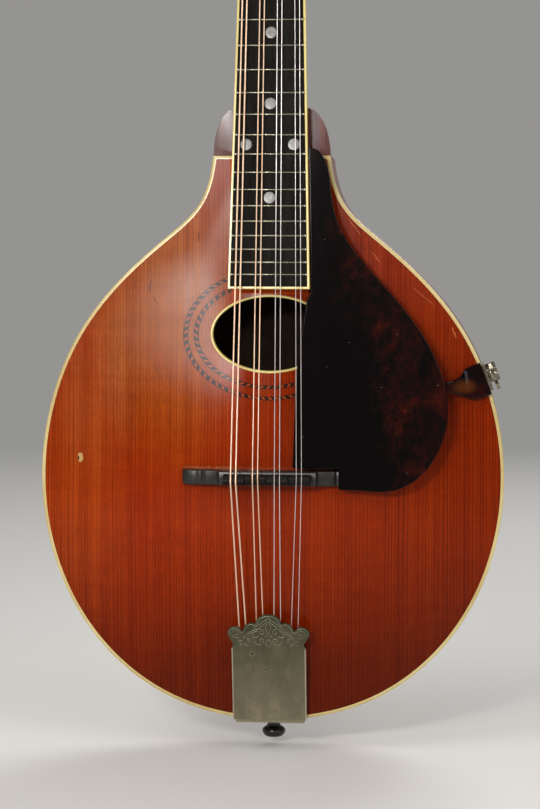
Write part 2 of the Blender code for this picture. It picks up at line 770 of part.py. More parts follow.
def make_neck(frame, neck, head):
    """Shaft, heel and headstock, cut from one piece of wood."""
    flat = BOARD_THICKNESS + GAP
    dip = (flat + NECK_DEPTH) * math.sin(NECK_ANGLE)
    start = (BODY_TOP + GAP + dip - JOIN_Z) / math.cos(NECK_ANGLE) + 0.0005
    runs = ((start, flat), (NUT_RUN * 0.55, flat), (NUT_RUN, flat), (HEAD_RUN - 0.0004, flat),
            (HEAD_RUN + 0.004, flat + 0.00125))
    loops = []
    for run, front in runs:
        section = rounded_section(board_half_width(min(run, NUT_RUN)) - GAP,
                                  front, NECK_DEPTH + flat - front, 0.8)
        loops.append([(x, y, run) for x, y in section])
    shaft = add_part("neck", loft("neck", loops), neck, "mahogany")

    loops = []
    for share in (0.0, 0.18, 0.36, 0.54, 0.70, 0.84, 0.94, 1.0):
        z = BODY_TOP + GAP + share * SHOULDER_HEIGHT
        round_off = math.sqrt(max(0.0, 1.0 - share ** 2))
        half = SHOULDER_TOP_HALF_WIDTH + round_off * (SHOULDER_HALF_WIDTH - SHOULDER_TOP_HALF_WIDTH)
        shaft_back = board_underside(z) + NECK_DEPTH - 0.001
        fall = (1.0 - share * SHOULDER_HEIGHT / HEEL_HEIGHT) ** 1.7
        back = shaft_back + (BODY_DEPTH - shaft_back) * fall
        section = rounded_section(half, SHOULDER_DROP, back - SHOULDER_DROP,
                                  HEEL_SQUARENESS + 0.25 * share)
        rib = min(board_edge(z) - RISER_INSET, half - 0.0005)
        under = board_underside(z) + GAP + 0.00005
        section = [(rib, under), (rib, SHOULDER_DROP)] + section
        section += [(-rib, SHOULDER_DROP), (-rib, under)]
        loops.append([(x, y, z) for x, y in section])
    heel = add_cutter("heel_shape", loft("heel_shape", loops), frame)
    combine(shaft, heel, "UNION")

    tenon = box("tenon_shape", (-TENON_HALF_WIDTH, tenon_front(), BODY_TOP - TENON_LENGTH),
                (TENON_HALF_WIDTH, tenon_front() + TENON_DEPTH, BODY_TOP + 0.004))
    combine(shaft, add_cutter("tenon_shape", tenon, frame), "UNION")

    face = VENEER_THICKNESS + GAP
    block = slab("headstock_shape", headstock_outline(), face, face + HEAD_THICKNESS)
    combine(shaft, add_cutter("headstock_shape", block, head), "UNION")
    return shaft


def headstock_outline():
    right = [(HEAD_HALF_WIDTH * u, HEAD_LENGTH * v) for u, v in HEAD_SHAPE]
    left = [(-x, z) for x, z in reversed(right[:-1])]
    return [(x, z) for x, z in smooth_path(right + left, 37)]


def post_places():
    """String number with the X and Z of its post in the head frame."""
    places = []
    for number in range(len(STRING_RADII)):
        side = -1 if number < 4 else 1
        order = number if number < 4 else 7 - number
        places.append((number, side * POST_X, FIRST_POST + order * TUNER_PITCH))
    return places


def make_veneer(head):
    veneer = slab("headstock_veneer", headstock_outline(), 0.0, VENEER_THICKNESS)
    return add_part("headstock_veneer", veneer, head, "ebony")


def post_bores(head):
    back = VENEER_THICKNESS + HEAD_THICKNESS + 0.01
    radius = (POST_RADIUS + RUNNING_GAP) / math.cos(math.pi / POST_SIDES)
    bores = []
    for _, x, z in post_places():
        bore = turned("bore", ((-0.01, radius), (back, radius)), POST_SIDES, "Y")
        bore.transform(Matrix.Translation((x, 0.0, z)))
        bores.append(bore)
    return add_cutter("post_bores", joined("post_bores", bores), head)


# Tuning machines

def plate_back():
    return VENEER_THICKNESS + HEAD_THICKNESS + 2 * GAP + TUNER_PLATE_THICKNESS


def worm_depth():
    """Depth of the worm's axis behind the veneer's face."""
    return plate_back() + WORM_RADIUS + WORM_THROW + 2 * GAP


def gear_pitch_radius():
    return GEAR_TEETH * WORM_LEAD / (2 * math.pi)


def gear_tip_radius():
    return gear_pitch_radius() + 0.0005


def worm_offset():
    """Distance between the axes of the post and its worm."""
    return gear_tip_radius() + WORM_RADIUS - WORM_THROW + GEAR_TIP_CLEARANCE


def make_post(number, x, z, head):
    """String post with its gear. Its origin is on the axis that it turns about."""
    name = "string_post_" + str(number + 1)
    tip = gear_tip_radius()
    root = worm_offset() - WORM_RADIUS - WORM_THROW - RUNNING_GAP
    outline = []
    for tooth in range(GEAR_TEETH):
        middle = math.pi / 2 + 2 * math.pi * tooth / GEAR_TEETH
        pitch = 2 * math.pi / GEAR_TEETH
        for radius, share in ((tip, -0.07), (tip, 0.07), (root, 0.5)):
            angle = middle + share * pitch
            outline.append((radius * math.cos(angle), radius * math.sin(angle)))
    front = worm_depth() - GEAR_THICKNESS / 2
    gear = slab(name + "_gear", outline, front, front + GEAR_THICKNESS)
    profile = ((-POST_HEIGHT, POST_RADIUS * 0.8), (-POST_HEIGHT + 0.0006, POST_RADIUS),
               (-WIND_LEVEL - 0.002, POST_RADIUS * 0.92), (-WIND_LEVEL + 0.002, POST_RADIUS * 0.92),
               (-0.0012, POST_RADIUS), (front + GEAR_THICKNESS + 0.0008, POST_RADIUS))
    shaft = turned(name, profile, POST_SIDES, "Y")
    post = add_part(name, shaft, head, "nickel", (x, 0.0, z))
    combine(post, add_cutter(name + "_gear", gear, head, (x, 0.0, z)), "UNION")


def make_tuner_shaft(number, x, z, head):
    """Worm, spindle and button in one. Its origin is on the axis that it turns about."""
    name = "tuner_button_" + str(number + 1)
    side = 1 if x > 0 else -1
    edge = HEAD_HALF_WIDTH * 1.03 - abs(x) + BUTTON_STANDOFF
    lug = WORM_HALF_LENGTH + 0.0008
    turns = 2 * WORM_HALF_LENGTH / WORM_LEAD
    steps = math.ceil(5 * turns)
    stations = [(-lug - LUG_THICKNESS - 0.0006, JOURNAL_RADIUS, JOURNAL_RADIUS, 0.0, 0.0),
                (-WORM_HALF_LENGTH - 0.0002, JOURNAL_RADIUS, JOURNAL_RADIUS, 0.0, 0.0)]
    for k in range(steps + 1):
        along = -WORM_HALF_LENGTH + 2 * WORM_HALF_LENGTH * k / steps
        turn = math.pi / 2 + side * 2 * math.pi * along / WORM_LEAD
        stations.append((along, WORM_RADIUS, WORM_RADIUS,
                         WORM_THROW * math.cos(turn), WORM_THROW * math.sin(turn)))
    stations += [(WORM_HALF_LENGTH + 0.0002, JOURNAL_RADIUS, JOURNAL_RADIUS, 0.0, 0.0),
                 (edge, JOURNAL_RADIUS, JOURNAL_RADIUS, 0.0, 0.0),
                 (edge + 0.0002, 0.0022, 0.0022, 0.0, 0.0),
                 (edge + 0.0016, 0.0020, 0.0020, 0.0, 0.0)]
    for share in (0.16, 0.36, 0.62, 0.86, 1.0):
        swell = math.sqrt(max(0.0, 1.0 - (1.9 * (share - 0.52)) ** 2))
        stations.append((edge + 0.0016 + share * BUTTON_LENGTH,
                         BUTTON_HALF_THICKNESS * (0.45 + 0.55 * swell),
                         BUTTON_HALF_HEIGHT * (0.25 + 0.75 * swell), 0.0, 0.0))
    loops = []
    for along, deep, tall, shift_y, shift_z in stations:
        circle = ring(1.0, SHAFT_SIDES, math.pi / SHAFT_SIDES)
        loops.append([(side * along, shift_y + deep * u, shift_z + tall * v) for u, v in circle])
    place = (x, worm_depth(), z + worm_offset())
    add_part(name, loft(name, loops), head, "ivoroid", place)


def make_tuner_plate(label, side, head):
    """Plate on the back of the headstock with two lugs for each worm."""
    name = label + "_tuner_plate"
    front = plate_back() - TUNER_PLATE_THICKNESS
    middle = side * POST_X
    low = FIRST_POST - TUNER_PLATE_MARGIN
    high = FIRST_POST + 3 * TUNER_PITCH + TUNER_PLATE_MARGIN + 0.003
    half = TUNER_PLATE_HALF_WIDTH
    plate = add_part(name, box(name, (middle - half, front, low),
                               (middle + half, plate_back(), high)), head, "nickel")
    lugs, holes = [], []
    lug = WORM_HALF_LENGTH + 0.0008
    axle = worm_depth()
    hole = (JOURNAL_RADIUS + RUNNING_GAP) / math.cos(math.pi / SHAFT_SIDES)
    bore = (POST_RADIUS + RUNNING_GAP) / math.cos(math.pi / POST_SIDES)
    for order in range(4):
        z = FIRST_POST + order * TUNER_PITCH
        for start in (-lug - LUG_THICKNESS, lug):
            reach = JOURNAL_RADIUS + 0.0014
            lugs.append(box("lug", (middle + start, plate_back() - 0.0004, z + worm_offset() - reach),
                            (middle + start + LUG_THICKNESS, axle + reach, z + worm_offset() + reach)))
        run = turned("run", ((-half - 0.002, hole), (half + 0.002, hole)), SHAFT_SIDES, "X")
        run.transform(Matrix.Translation((middle, axle, z + worm_offset())))
        drill = turned("drill", ((front - 0.002, bore), (plate_back() + 0.002, bore)),
                       POST_SIDES, "Y")
        drill.transform(Matrix.Translation((middle, 0.0, z)))
        holes += [run, drill]
    combine(plate, add_cutter(name + "_lugs", joined(name + "_lugs", lugs), head), "UNION")
    combine(plate, add_cutter(name + "_holes", joined(name + "_holes", holes), head), "DIFFERENCE")


# Strings

def in_body(frame_matrix, point):
    return frame_matrix @ Vector(point)


def string_points(number, radius, post_x, post_z):
    """Route of one string from its hook over the saddle and nut to its post."""
    course = number // 2
    start_x = string_x(number, COURSE_PITCH_HOOK, PAIR_HOOK)
    hook_front = HOOK_Z + HOOK_LENGTH / 2 + GAP
    start = Vector((start_x, -HOOK_STRING_RISE, hook_front))
    level = STRING_LEVEL_SADDLE + radius + GAP
    saddle = in_body(NECK_FRAME, (string_x(number, COURSE_PITCH_SADDLE, PAIR_SADDLE), -level,
                                  -SADDLE_RUN + SADDLE_OFFSETS[course]))
    nut_x = string_x(number, COURSE_PITCH_NUT, PAIR_NUT)
    nut_depth = -STRING_LEVEL_NUT - radius
    nut = in_body(NECK_FRAME, (nut_x, nut_depth, NUT_RUN + NUT_LENGTH + 2 * GAP))
    side = -1 if post_x < 0 else 1
    end_x = post_x - side * (POST_RADIUS + radius + GAP)
    end = in_body(HEAD_FRAME, (end_x, -WIND_LEVEL, post_z))
    return [start, start.lerp(saddle, 0.5), saddle, saddle.lerp(nut, 0.5), nut,
            nut.lerp(end, 0.5), end]


def make_string(number, radius, post_x, post_z, frame):
    name = "string_" + str(number + 1)
    curve = bpy.data.curves.new(name, "CURVE")
    curve.dimensions = "3D"
    curve.bevel_depth = radius
    curve.bevel_resolution = 1
    curve.use_fill_caps = True
    spline = curve.splines.new("POLY")
    points = string_points(number, radius, post_x, post_z)
    spline.points.add(len(points) - 1)
    for knot, point in zip(spline.points, points):
        knot.co = (*point, 1.0)
    add_part(name, curve, frame, "bronze" if number < 4 else "steel")


# Bridge

def make_bridge(frame, on_top):
    """Ebony foot fitted to the carved top, with four saddles set on it."""
    flat = -TOP_RISE - BRIDGE_HEIGHT
    inner = [(share * SADDLE_HALF_SPAN, None) for share in (-1.0, -0.66, -0.33, 0, 0.33, 0.66, 1.0)]
    wings = [(share * BRIDGE_HALF_LENGTH, height) for share, height in WING_SHAPE]
    stations = [(-x, height) for x, height in wings] + inner + wings[::-1]
    loops = []
    for x, height in stations:
        foot, crown = BRIDGE_WIDTH / 2, BRIDGE_TOP_WIDTH / 2
        crest = flat if height is None else top_outside(x, 0.0) - height * BRIDGE_HEIGHT
        sunk = top_outside(x, 0.0) + 0.001
        loops.append([(x, sunk, -foot), (x, sunk, foot), (x, crest, crown), (x, crest, -crown)])
    base = add_part("bridge_base", loft("bridge_base", loops), frame, "ebony")
    combine(base, on_top, "DIFFERENCE")

    seat = flat - GAP
    for course, label in enumerate(("g", "d", "a", "e")):
        middle = (course - 1.5) * COURSE_PITCH_SADDLE
        half = COURSE_PITCH_SADDLE / 2 - GAP / 2
        offset = SADDLE_OFFSETS[course]
        level = in_body(NECK_FRAME, (0.0, -STRING_LEVEL_SADDLE, -SADDLE_RUN + offset))
        width = SADDLE_WIDTH / 2
        section = ((seat, -width), (seat, width), (level.y + 0.0022, width),
                   (level.y, level.z + SADDLE_CREST / 2), (level.y, level.z - SADDLE_CREST / 2),
                   (level.y + 0.0022, -width))
        loops = [[(middle + s * half, y, z) for y, z in section] for s in (-1, 1)]
        name = "bridge_saddle_" + label
        add_part(name, loft(name, loops), frame, "ebony")


# Pickguard

def guard_front(z):
    """Depth of the guard's front face, which leans back towards the neck."""
    return -GUARD_RISE_SADDLE + (GUARD_RISE_SADDLE - GUARD_RISE_JOIN) * z / JOIN_Z


def board_edge(z):
    return board_half_width((z - JOIN_Z) / math.cos(NECK_ANGLE))


def guard_outline():
    foot = JOIN_Z - BOARD_OVERHANG * math.cos(NECK_ANGLE)
    clear = 2 * GAP
    edge = [tuple(point) for point in smooth_path(GUARD_EDGE, GUARD_EDGE_STEPS)]
    edge[0] = (board_edge(edge[0][1]) + clear, edge[0][1])
    notch = (GUARD_NOTCH_X, GUARD_FOOT_Z)
    inside = [(GUARD_INNER_X, GUARD_FOOT_Z), (0.0146, 0.0430), (0.0155, 0.0598),
              (0.0185, 0.0830), (board_edge(foot) - 0.0018, foot - 0.0065),
              (board_edge(foot) + clear, foot - 0.0010)]
    return edge + [(edge[-1][0], edge[-1][1]), notch] + inside


def make_pickguard(frame):
    outline = guard_outline()
    loops = [[(x, guard_front(z) + shift, z) for x, z in outline]
             for shift in (0.0, GUARD_THICKNESS)]
    add_part("pickguard", loft("pickguard", loops), frame, "tortoise")


def make_guard_pin(frame, riser):
    """Block under the guard with a pin that enters the side of the riser."""
    z = GUARD_PIN_Z
    half = GUARD_PIN_BLOCK / 2
    inner = board_edge(z) + GAP
    front = guard_front(z) + GUARD_THICKNESS + 2 * GAP
    block = box("pickguard_pin", (inner, front, z - half),
                (inner + GUARD_PIN_BLOCK, front + GUARD_PIN_BLOCK, z + half))
    part = add_part("pickguard_pin", block, frame, "tortoise")
    axis = (front + half + 0.0006, z)
    tip = inner - RISER_INSET - 0.0040
    pin = turned("pickguard_pin_rod", ((tip, GUARD_PIN_RADIUS), (inner + half, GUARD_PIN_RADIUS)),
                 8, "X")
    pin.transform(Matrix.Translation((0.0, axis[0], axis[1])))
    combine(part, add_cutter("pickguard_pin_rod", pin, frame), "UNION")
    hole = turned("pickguard_pin_hole", ((tip - GAP, GUARD_PIN_RADIUS + GAP),
                                         (inner + 0.002, GUARD_PIN_RADIUS + GAP)), 8, "X")
    hole.transform(Matrix.Translation((0.0, axis[0], axis[1])))
    combine(riser, add_cutter("pickguard_pin_hole", hole, frame), "DIFFERENCE")


# Side clamp

def clamp_matrix():
    """Frame on the body's treble edge: X outwards, Y to the back, Z up along the edge."""
    path = side_path(0.0, FINE_STEPS + 1)[:FINE_STEPS // 2 + 1]
    upper = path[path[:, 1] >= 0.0][::-1]
    x = float(np.interp(CLAMP_Z, upper[:, 1], upper[:, 0]))
    above = float(np.interp(CLAMP_Z + 0.005, upper[:, 1], upper[:, 0]))
    lean = math.atan2(x - above, 0.005)
    return Matrix.Translation((x, 0.0, CLAMP_Z)) @ Matrix.Rotation(-lean, 4, "Y")


def jaw_seats(clamp_local):
    """Highest places of the top and the back under the jaws."""
    spots = [clamp_local @ Vector((-JAW_REACH * share, 0.0, JAW_HALF_HEIGHT * side))
             for share in (0.5, 0.75, 1.0) for side in (-1.0, -0.5, 0.0, 0.5, 1.0)]
    front = min(top_outside(spot.x, spot.z) for spot in spots)
    back = max(back_outside(spot.x, spot.z) for spot in spots)
    return front, back


def make_arm(frame, clamp_local):
    """Celluloid arm from under the guard's edge down to the clamp."""
    path = smooth_path(GUARD_EDGE, 4 * GUARD_EDGE_STEPS)
    at_arm = path[np.argmin(np.abs(path[:, 1] - (CLAMP_Z - 0.004))
                            + np.where(path[:, 0] < 0.08, 1.0, 0.0))]
    tip = Vector((at_arm[0] - ARM_OVERLAP, 0.0, at_arm[1]))
    neck = Vector((at_arm[0] + 0.002, 0.0, at_arm[1]))
    seat, _ = jaw_seats(clamp_local)
    arm_back = -JAW_THICKNESS - 2 * GAP
    wide = clamp_local @ Vector((-ARM_WIDE_LENGTH, 0.0, 0.0))
    edge = clamp_local @ Vector((-GAP, 0.0, 0.0))
    along = clamp_local.to_3x3() @ Vector((0.0, 0.0, 1.0))
    under = guard_front(tip.z) + GUARD_THICKNESS + 2 * GAP
    up = Vector((0.0, 0.0, 1.0))
    stations = ((tip, up, ARM_TIP_HALF_HEIGHT, under, 0.0030),
                (neck, up, ARM_TIP_HALF_HEIGHT, under + 0.0004, 0.0034),
                (neck.lerp(wide, 0.55), up, ARM_TIP_HALF_HEIGHT * 1.6, under * 0.62, 0.0034),
                (wide, along, ARM_HALF_HEIGHT, seat - 0.0052, 0.0034),
                (edge, along, ARM_HALF_HEIGHT, seat - 0.0040, arm_back + 0.0040))
    loops = []
    for middle, upward, half, front, deep in stations:
        low, high = middle - upward * half, middle + upward * half
        loops.append([(low.x, front, low.z), (high.x, front, high.z),
                      (high.x, front + deep, high.z), (low.x, front + deep, low.z)])
    add_part("pickguard_arm", loft("pickguard_arm", loops), frame, "tortoise")


def make_clamp(frame):
    """Upper jaw on the top's edge, lower jaw on the back's edge and the screw that draws them."""
    base = new_empty("clamp_frame", clamp_matrix(), frame)
    thick, tall = JAW_THICKNESS, JAW_HALF_HEIGHT
    face = 2 * GAP
    front_seat, back_seat = jaw_seats(clamp_matrix())
    jaw_front = front_seat - GAP - thick
    upper = add_part("clamp_upper_jaw",
                     box("clamp_upper_jaw", (-JAW_REACH, jaw_front, -tall),
                         (face + thick, jaw_front + thick, tall)), base, "nickel")
    plate = box("upper_jaw_side", (face, jaw_front, -tall),
                (face + thick, BODY_DEPTH - JAW_SIDE_TO_BACK, tall))
    combine(upper, add_cutter("upper_jaw_side", plate, base), "UNION")
    ear = box("upper_jaw_ear", (face + thick / 2, 0.0060, -0.0038), (LUG_REACH, 0.0080, 0.0038))
    combine(upper, add_cutter("upper_jaw_ear", ear, base), "UNION")
    hole = (CLAMP_SCREW_RADIUS + RUNNING_GAP) / math.cos(math.pi / POST_SIDES)
    drill = turned("upper_jaw_hole", ((0.004, hole), (0.010, hole)), POST_SIDES, "Y")
    drill.transform(Matrix.Translation((CLAMP_SCREW_OFFSET, 0.0, 0.0)))
    combine(upper, add_cutter("upper_jaw_hole", drill, base), "DIFFERENCE")

    boss_inside = face + thick + GAP
    hook_front = back_seat + GAP
    lower = add_part("clamp_lower_jaw",
                     box("clamp_lower_jaw", (-JAW_REACH, hook_front, -0.0050),
                         (LUG_REACH, hook_front + thick, 0.0050)), base, "nickel")
    boss_front = BODY_DEPTH - BOSS_TO_BACK
    boss_back = boss_front + BOSS_DEPTH
    boss = box("lower_jaw_boss", (boss_inside, boss_front, -0.0034),
               (LUG_REACH, boss_back, 0.0034))
    web = box("lower_jaw_web", (boss_inside, boss_back - thick, -0.0034),
              (boss_inside + thick, hook_front + thick / 2, 0.0034))
    combine(lower, add_cutter("lower_jaw_boss", boss, base), "UNION")
    combine(lower, add_cutter("lower_jaw_web", web, base), "UNION")
    tap = turned("lower_jaw_hole", ((boss_front - 0.002, hole), (boss_back + 0.002, hole)),
                 POST_SIDES, "Y")
    tap.transform(Matrix.Translation((CLAMP_SCREW_OFFSET, 0.0, 0.0)))
    combine(lower, add_cutter("lower_jaw_hole", tap, base), "DIFFERENCE")

    profile = ((-0.0085, 0.0019), (0.0030, 0.0019), (0.0032, 0.0026), (0.0057, 0.0026),
               (0.0059, CLAMP_SCREW_RADIUS), (BODY_DEPTH - SCREW_TO_BACK, CLAMP_SCREW_RADIUS))
    place = (CLAMP_SCREW_OFFSET, 0.0, 0.0)
    screw = add_part("clamp_screw", turned("clamp_screw", profile, POST_SIDES, "Y"), base,
                     "nickel", place)
    half, deep = CLAMP_WING_HALF_LENGTH, CLAMP_WING_THICKNESS / 2
    wing_outline = ((-half, -0.0115), (-half + 0.003, -0.0120), (-0.0022, -0.0088),
                    (0.0022, -0.0088), (half - 0.003, -0.0120), (half, -0.0115),
                    (half - 0.0012, -0.0078), (0.0030, -0.0062), (-0.0030, -0.0062),
                    (-half + 0.0012, -0.0078))
    loops = [[(x, y, z) for z, y in wing_outline] for x in (-deep, deep)]
    wing = add_cutter("clamp_wing", loft("clamp_wing", loops), base, place)
    combine(screw, wing, "UNION")
    return base


# Tailpiece and end pin

def cover_outline():
    """Scalloped front edge, ears and straight sides, in the cover's own plane."""
    right = [(CROWN_HALF_WIDTH * math.sin(a), CROWN_HEIGHT * (math.cos(a) - 1.0))
             for a in (math.radians(step) for step in range(0, 91, 18))]
    for step in (80, 55, 30, 5):
        angle = math.radians(step)
        right.append((ARC_CENTRE[0] + ARC_RADIUS * math.cos(angle),
                      ARC_CENTRE[1] + ARC_RADIUS * math.sin(angle)))
    for step in (165, 130, 95, 60, 25, -10, -45):
        angle = math.radians(step)
        right.append((EAR_CENTRE[0] + EAR_RADIUS * math.cos(angle),
                      EAR_CENTRE[1] + EAR_RADIUS * math.sin(angle)))
    tail = cover_tail()
    right += [WAIST, (COVER_HALF_WIDTH, FLANGE_START), (COVER_HALF_WIDTH, tail)]
    left = [(-x, z) for x, z in reversed(right) if x > 0]
    return right + left


def cover_tail():
    return -(TAIL_LENGTH - COVER_TAIL_MARGIN + COVER_FRONT_Z) / math.cos(COVER_SLOPE)


def cover_depth_room(run):
    """Room between the cover's face and the top's edge plane at a place along the cover."""
    point = COVER_FRAME @ Vector((0.0, 0.0, run))
    return -point.y * math.cos(COVER_SLOPE) - 2 * GAP


def make_cover(frame):
    slope = new_empty("cover_frame", COVER_FRAME, frame)
    plate = slab("tailpiece_cover", cover_outline(), 0.0, COVER_THICKNESS)
    cover = add_part("tailpiece_cover", plate, slope, "nickel")
    bend = (BASE_BEND_Z - COVER_FRONT_Z) / math.cos(COVER_SLOPE)
    for label, side in (("bass", -1), ("treble", 1)):
        outside = side * COVER_HALF_WIDTH
        inside = side * (COVER_HALF_WIDTH - COVER_THICKNESS)
        loops = []
        for run in (cover_tail(), bend, FLANGE_START):
            deep = min(FLANGE_DEPTH, cover_depth_room(run))
            loops.append([(outside, COVER_THICKNESS / 2, run), (inside, COVER_THICKNESS / 2, run),
                          (inside, deep, run), (outside, deep, run)])
        name = "cover_flange_" + label
        combine(cover, add_cutter(name, loft(name, loops), slope), "UNION")


def make_tailpiece_base(frame):
    """Bent plate over the tail with a hook for each string."""
    seat, thick = BASE_SEAT, BASE_THICKNESS
    rise = (BASE_FRONT_Z - BASE_BEND_Z) * math.tan(COVER_SLOPE)
    tail = -TAIL_LENGTH - seat
    section = ((BASE_TAIL_Y, tail), (-seat, tail), (-seat, BASE_BEND_Z),
               (-seat - rise, BASE_FRONT_Z), (-seat - rise - thick, BASE_FRONT_Z),
               (-seat - thick, BASE_BEND_Z), (-seat - thick, tail - thick),
               (BASE_TAIL_Y, tail - thick))
    loops = [[(x, y, z) for y, z in section] for x in (-BASE_HALF_WIDTH, BASE_HALF_WIDTH)]
    base = add_part("tailpiece_base", loft("tailpiece_base", loops), frame, "nickel")
    floor = -seat - thick - (HOOK_Z - BASE_BEND_Z) * math.tan(COVER_SLOPE)
    hooks = []
    for number in range(len(STRING_RADII)):
        x = string_x(number, COURSE_PITCH_HOOK, PAIR_HOOK)
        hooks.append(box("hook", (x - HOOK_WIDTH / 2, floor - HOOK_HEIGHT, HOOK_Z - HOOK_LENGTH / 2),
                         (x + HOOK_WIDTH / 2, floor + thick / 2, HOOK_Z + HOOK_LENGTH / 2)))
    combine(base, add_cutter("tailpiece_hooks", joined("tailpiece_hooks", hooks), frame), "UNION")
    return base


def make_end_pin(frame, pierced):
    start = -TAIL_LENGTH - BASE_SEAT - BASE_THICKNESS - GAP
    profile = [(PIN_SHANK, PIN_RADIUS * 0.85), (-0.0001, PIN_RADIUS)]
    profile += [(-out - 0.0001 * (out == 0.0), radius) for out, radius in PIN_PROFILE]
    pin = turned("end_pin", profile, PIN_SIDES, "Z")
    add_part("end_pin", pin, frame, "ebony", (0.0, PIN_Y, start))
    radius = (PIN_RADIUS + GAP) / math.cos(math.pi / PIN_SIDES)
    drill = turned("end_pin_hole", ((-0.004, radius), (PIN_SHANK + GAP, radius)), PIN_SIDES, "Z")
    hole = add_cutter("end_pin_hole", drill, frame, (0.0, PIN_Y, start))
    for part in pierced:
        combine(part, hole, "DIFFERENCE")


def build():
    clear_scene()
    frame = new_empty("mandolin_frame", Matrix.Translation(-HANGER_POINT))
    neck = new_empty("neck_frame", NECK_FRAME, frame)
    head = new_empty("head_frame", HEAD_FRAME, frame)

    make_top(frame)
    make_back(frame)
    on_top, under_top, in_back = make_beds(frame)
    ribs = make_sides(frame)
    make_head_block(frame, under_top, in_back)
    tail_block = make_tail_block(frame, under_top, in_back)
    make_tone_bar(frame, under_top)
    make_body_binding(frame)
    make_hole_binding(frame)

    shaft = make_neck(frame, neck, head)
    veneer = make_veneer(head)
    bores = post_bores(head)
    combine(shaft, bores, "DIFFERENCE")
    combine(veneer, bores, "DIFFERENCE")
    make_fingerboard(neck)
    make_nut(neck)
    riser = make_riser(frame, on_top)

    for label, side in (("bass", -1), ("treble", 1)):
        make_tuner_plate(label, side, head)
    for number, x, z in post_places():
        make_post(number, x, z, head)
        make_tuner_shaft(number, x, z, head)
        make_string(number, STRING_RADII[number], x, z, frame)

    make_bridge(frame, on_top)
    make_pickguard(frame)
    make_guard_pin(frame, riser)
    make_arm(frame, clamp_matrix())
    make_clamp(frame)
    make_cover(frame)
    base = make_tailpiece_base(frame)
    make_end_pin(frame, ribs + [tail_block, base])


build()
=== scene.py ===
"""Looks of an A-style mandolin: fine geometry, procedural materials, camera and soft studio light.

Body coordinates are in metres: X runs to the treble side, Y from front to back and Z up the neck.
Z is zero on the saddle line, and Y is zero on the front of the body's edge.
"""
import math
import random

import bmesh
import bpy
import numpy as np
from mathutils import Matrix, Vector


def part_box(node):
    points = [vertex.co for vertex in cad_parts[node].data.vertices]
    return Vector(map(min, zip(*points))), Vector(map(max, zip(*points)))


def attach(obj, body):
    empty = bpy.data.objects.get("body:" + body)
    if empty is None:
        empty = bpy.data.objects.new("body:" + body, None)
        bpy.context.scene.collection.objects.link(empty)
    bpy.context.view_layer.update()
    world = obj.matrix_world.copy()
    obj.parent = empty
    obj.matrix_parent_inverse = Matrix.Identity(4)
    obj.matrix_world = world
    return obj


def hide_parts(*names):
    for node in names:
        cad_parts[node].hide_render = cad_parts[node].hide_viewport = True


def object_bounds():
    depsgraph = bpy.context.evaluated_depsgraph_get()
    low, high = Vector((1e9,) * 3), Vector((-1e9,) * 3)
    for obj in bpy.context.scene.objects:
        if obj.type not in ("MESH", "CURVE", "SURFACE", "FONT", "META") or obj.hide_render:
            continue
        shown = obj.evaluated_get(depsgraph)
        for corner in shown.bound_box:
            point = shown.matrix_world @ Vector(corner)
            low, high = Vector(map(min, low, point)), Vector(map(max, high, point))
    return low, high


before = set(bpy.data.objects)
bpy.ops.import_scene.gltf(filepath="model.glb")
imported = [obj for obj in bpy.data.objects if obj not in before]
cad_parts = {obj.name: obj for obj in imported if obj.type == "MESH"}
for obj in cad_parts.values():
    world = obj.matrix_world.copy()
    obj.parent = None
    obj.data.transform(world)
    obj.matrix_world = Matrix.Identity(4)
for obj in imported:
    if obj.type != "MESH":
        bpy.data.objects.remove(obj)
cad_low, cad_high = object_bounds()

# Clearance between pieces, and the hair's breadth that keeps faces apart
GAP = 0.0003
HAIR = 0.00005
FULL_TURN = 2 * math.pi

# Scale and neck
SCALE_LENGTH = 0.3524
SADDLE_RUN = SCALE_LENGTH / 2
NUT_RUN = SCALE_LENGTH - SADDLE_RUN
FRET_COUNT = 20
NECK_ANGLE = math.radians(5.0)
HEAD_ANGLE = math.radians(14.0)
JOIN_Z = SADDLE_RUN * math.cos(NECK_ANGLE)

# Body
BODY_TOP = JOIN_Z - GAP
TAIL_LENGTH = 0.1367
BOUT_HALF_WIDTH = 0.1279
SHOULDER_HALF_WIDTH = 0.0320
BODY_DEPTH = 0.0410
PLATE = 0.0040
TOP_RISE = 0.0130
BACK_RISE = 0.0120
RIB_THICKNESS = 0.0025
BINDING_WIDTH = 0.0018
BINDING_DEPTH = 0.0057
HOLE_Z = 0.0781
HOLE_HALF_WIDTH = 0.0330
HOLE_HALF_HEIGHT = 0.0214
HOLE_RIM = 0.0013

# Fingerboard and nut
BOARD_RISE = 0.0110
BOARD_THICKNESS = 0.0055
BOARD_OVERHANG = 0.0730
BOARD_END_HALF_WIDTH = 0.02225
NUT_HALF_WIDTH = 0.01635
NUT_LENGTH = 0.0050
BOARD_EDGE = 0.0013
FRET_HALF_WIDTH = 0.00045
FRET_HEIGHT = 0.0009

# Headstock and tuning machines
VENEER = 0.0016
HEAD_THICKNESS = 0.0140
HEAD_HALF_WIDTH = 0.0315 * 1.03
TUNER_PLATE = 0.0010
PLATE_BACK = VENEER + HEAD_THICKNESS + 2 * GAP + TUNER_PLATE
PLATE_X = 0.0151
POST_X = 0.0205
POST_RADIUS = 0.0030
FIRST_POST = 0.0220
TUNER_PITCH = 0.0230
WIND_LEVEL = 0.0040
GEAR_TEETH = 14
TOOTH_HEIGHT = 0.0005
GEAR_TIP_CLEARANCE = 0.00035
WORM_LEAD = 0.00224
WORM_RADIUS = 0.00205
WORM_THROW = 0.00055
WORM_HALF_LENGTH = 0.0028
WORM_TO_LUG = 0.0008
JOURNAL_RADIUS = 0.0011
BUTTON_STANDOFF = 0.0040
BUTTON_LENGTH = 0.0125

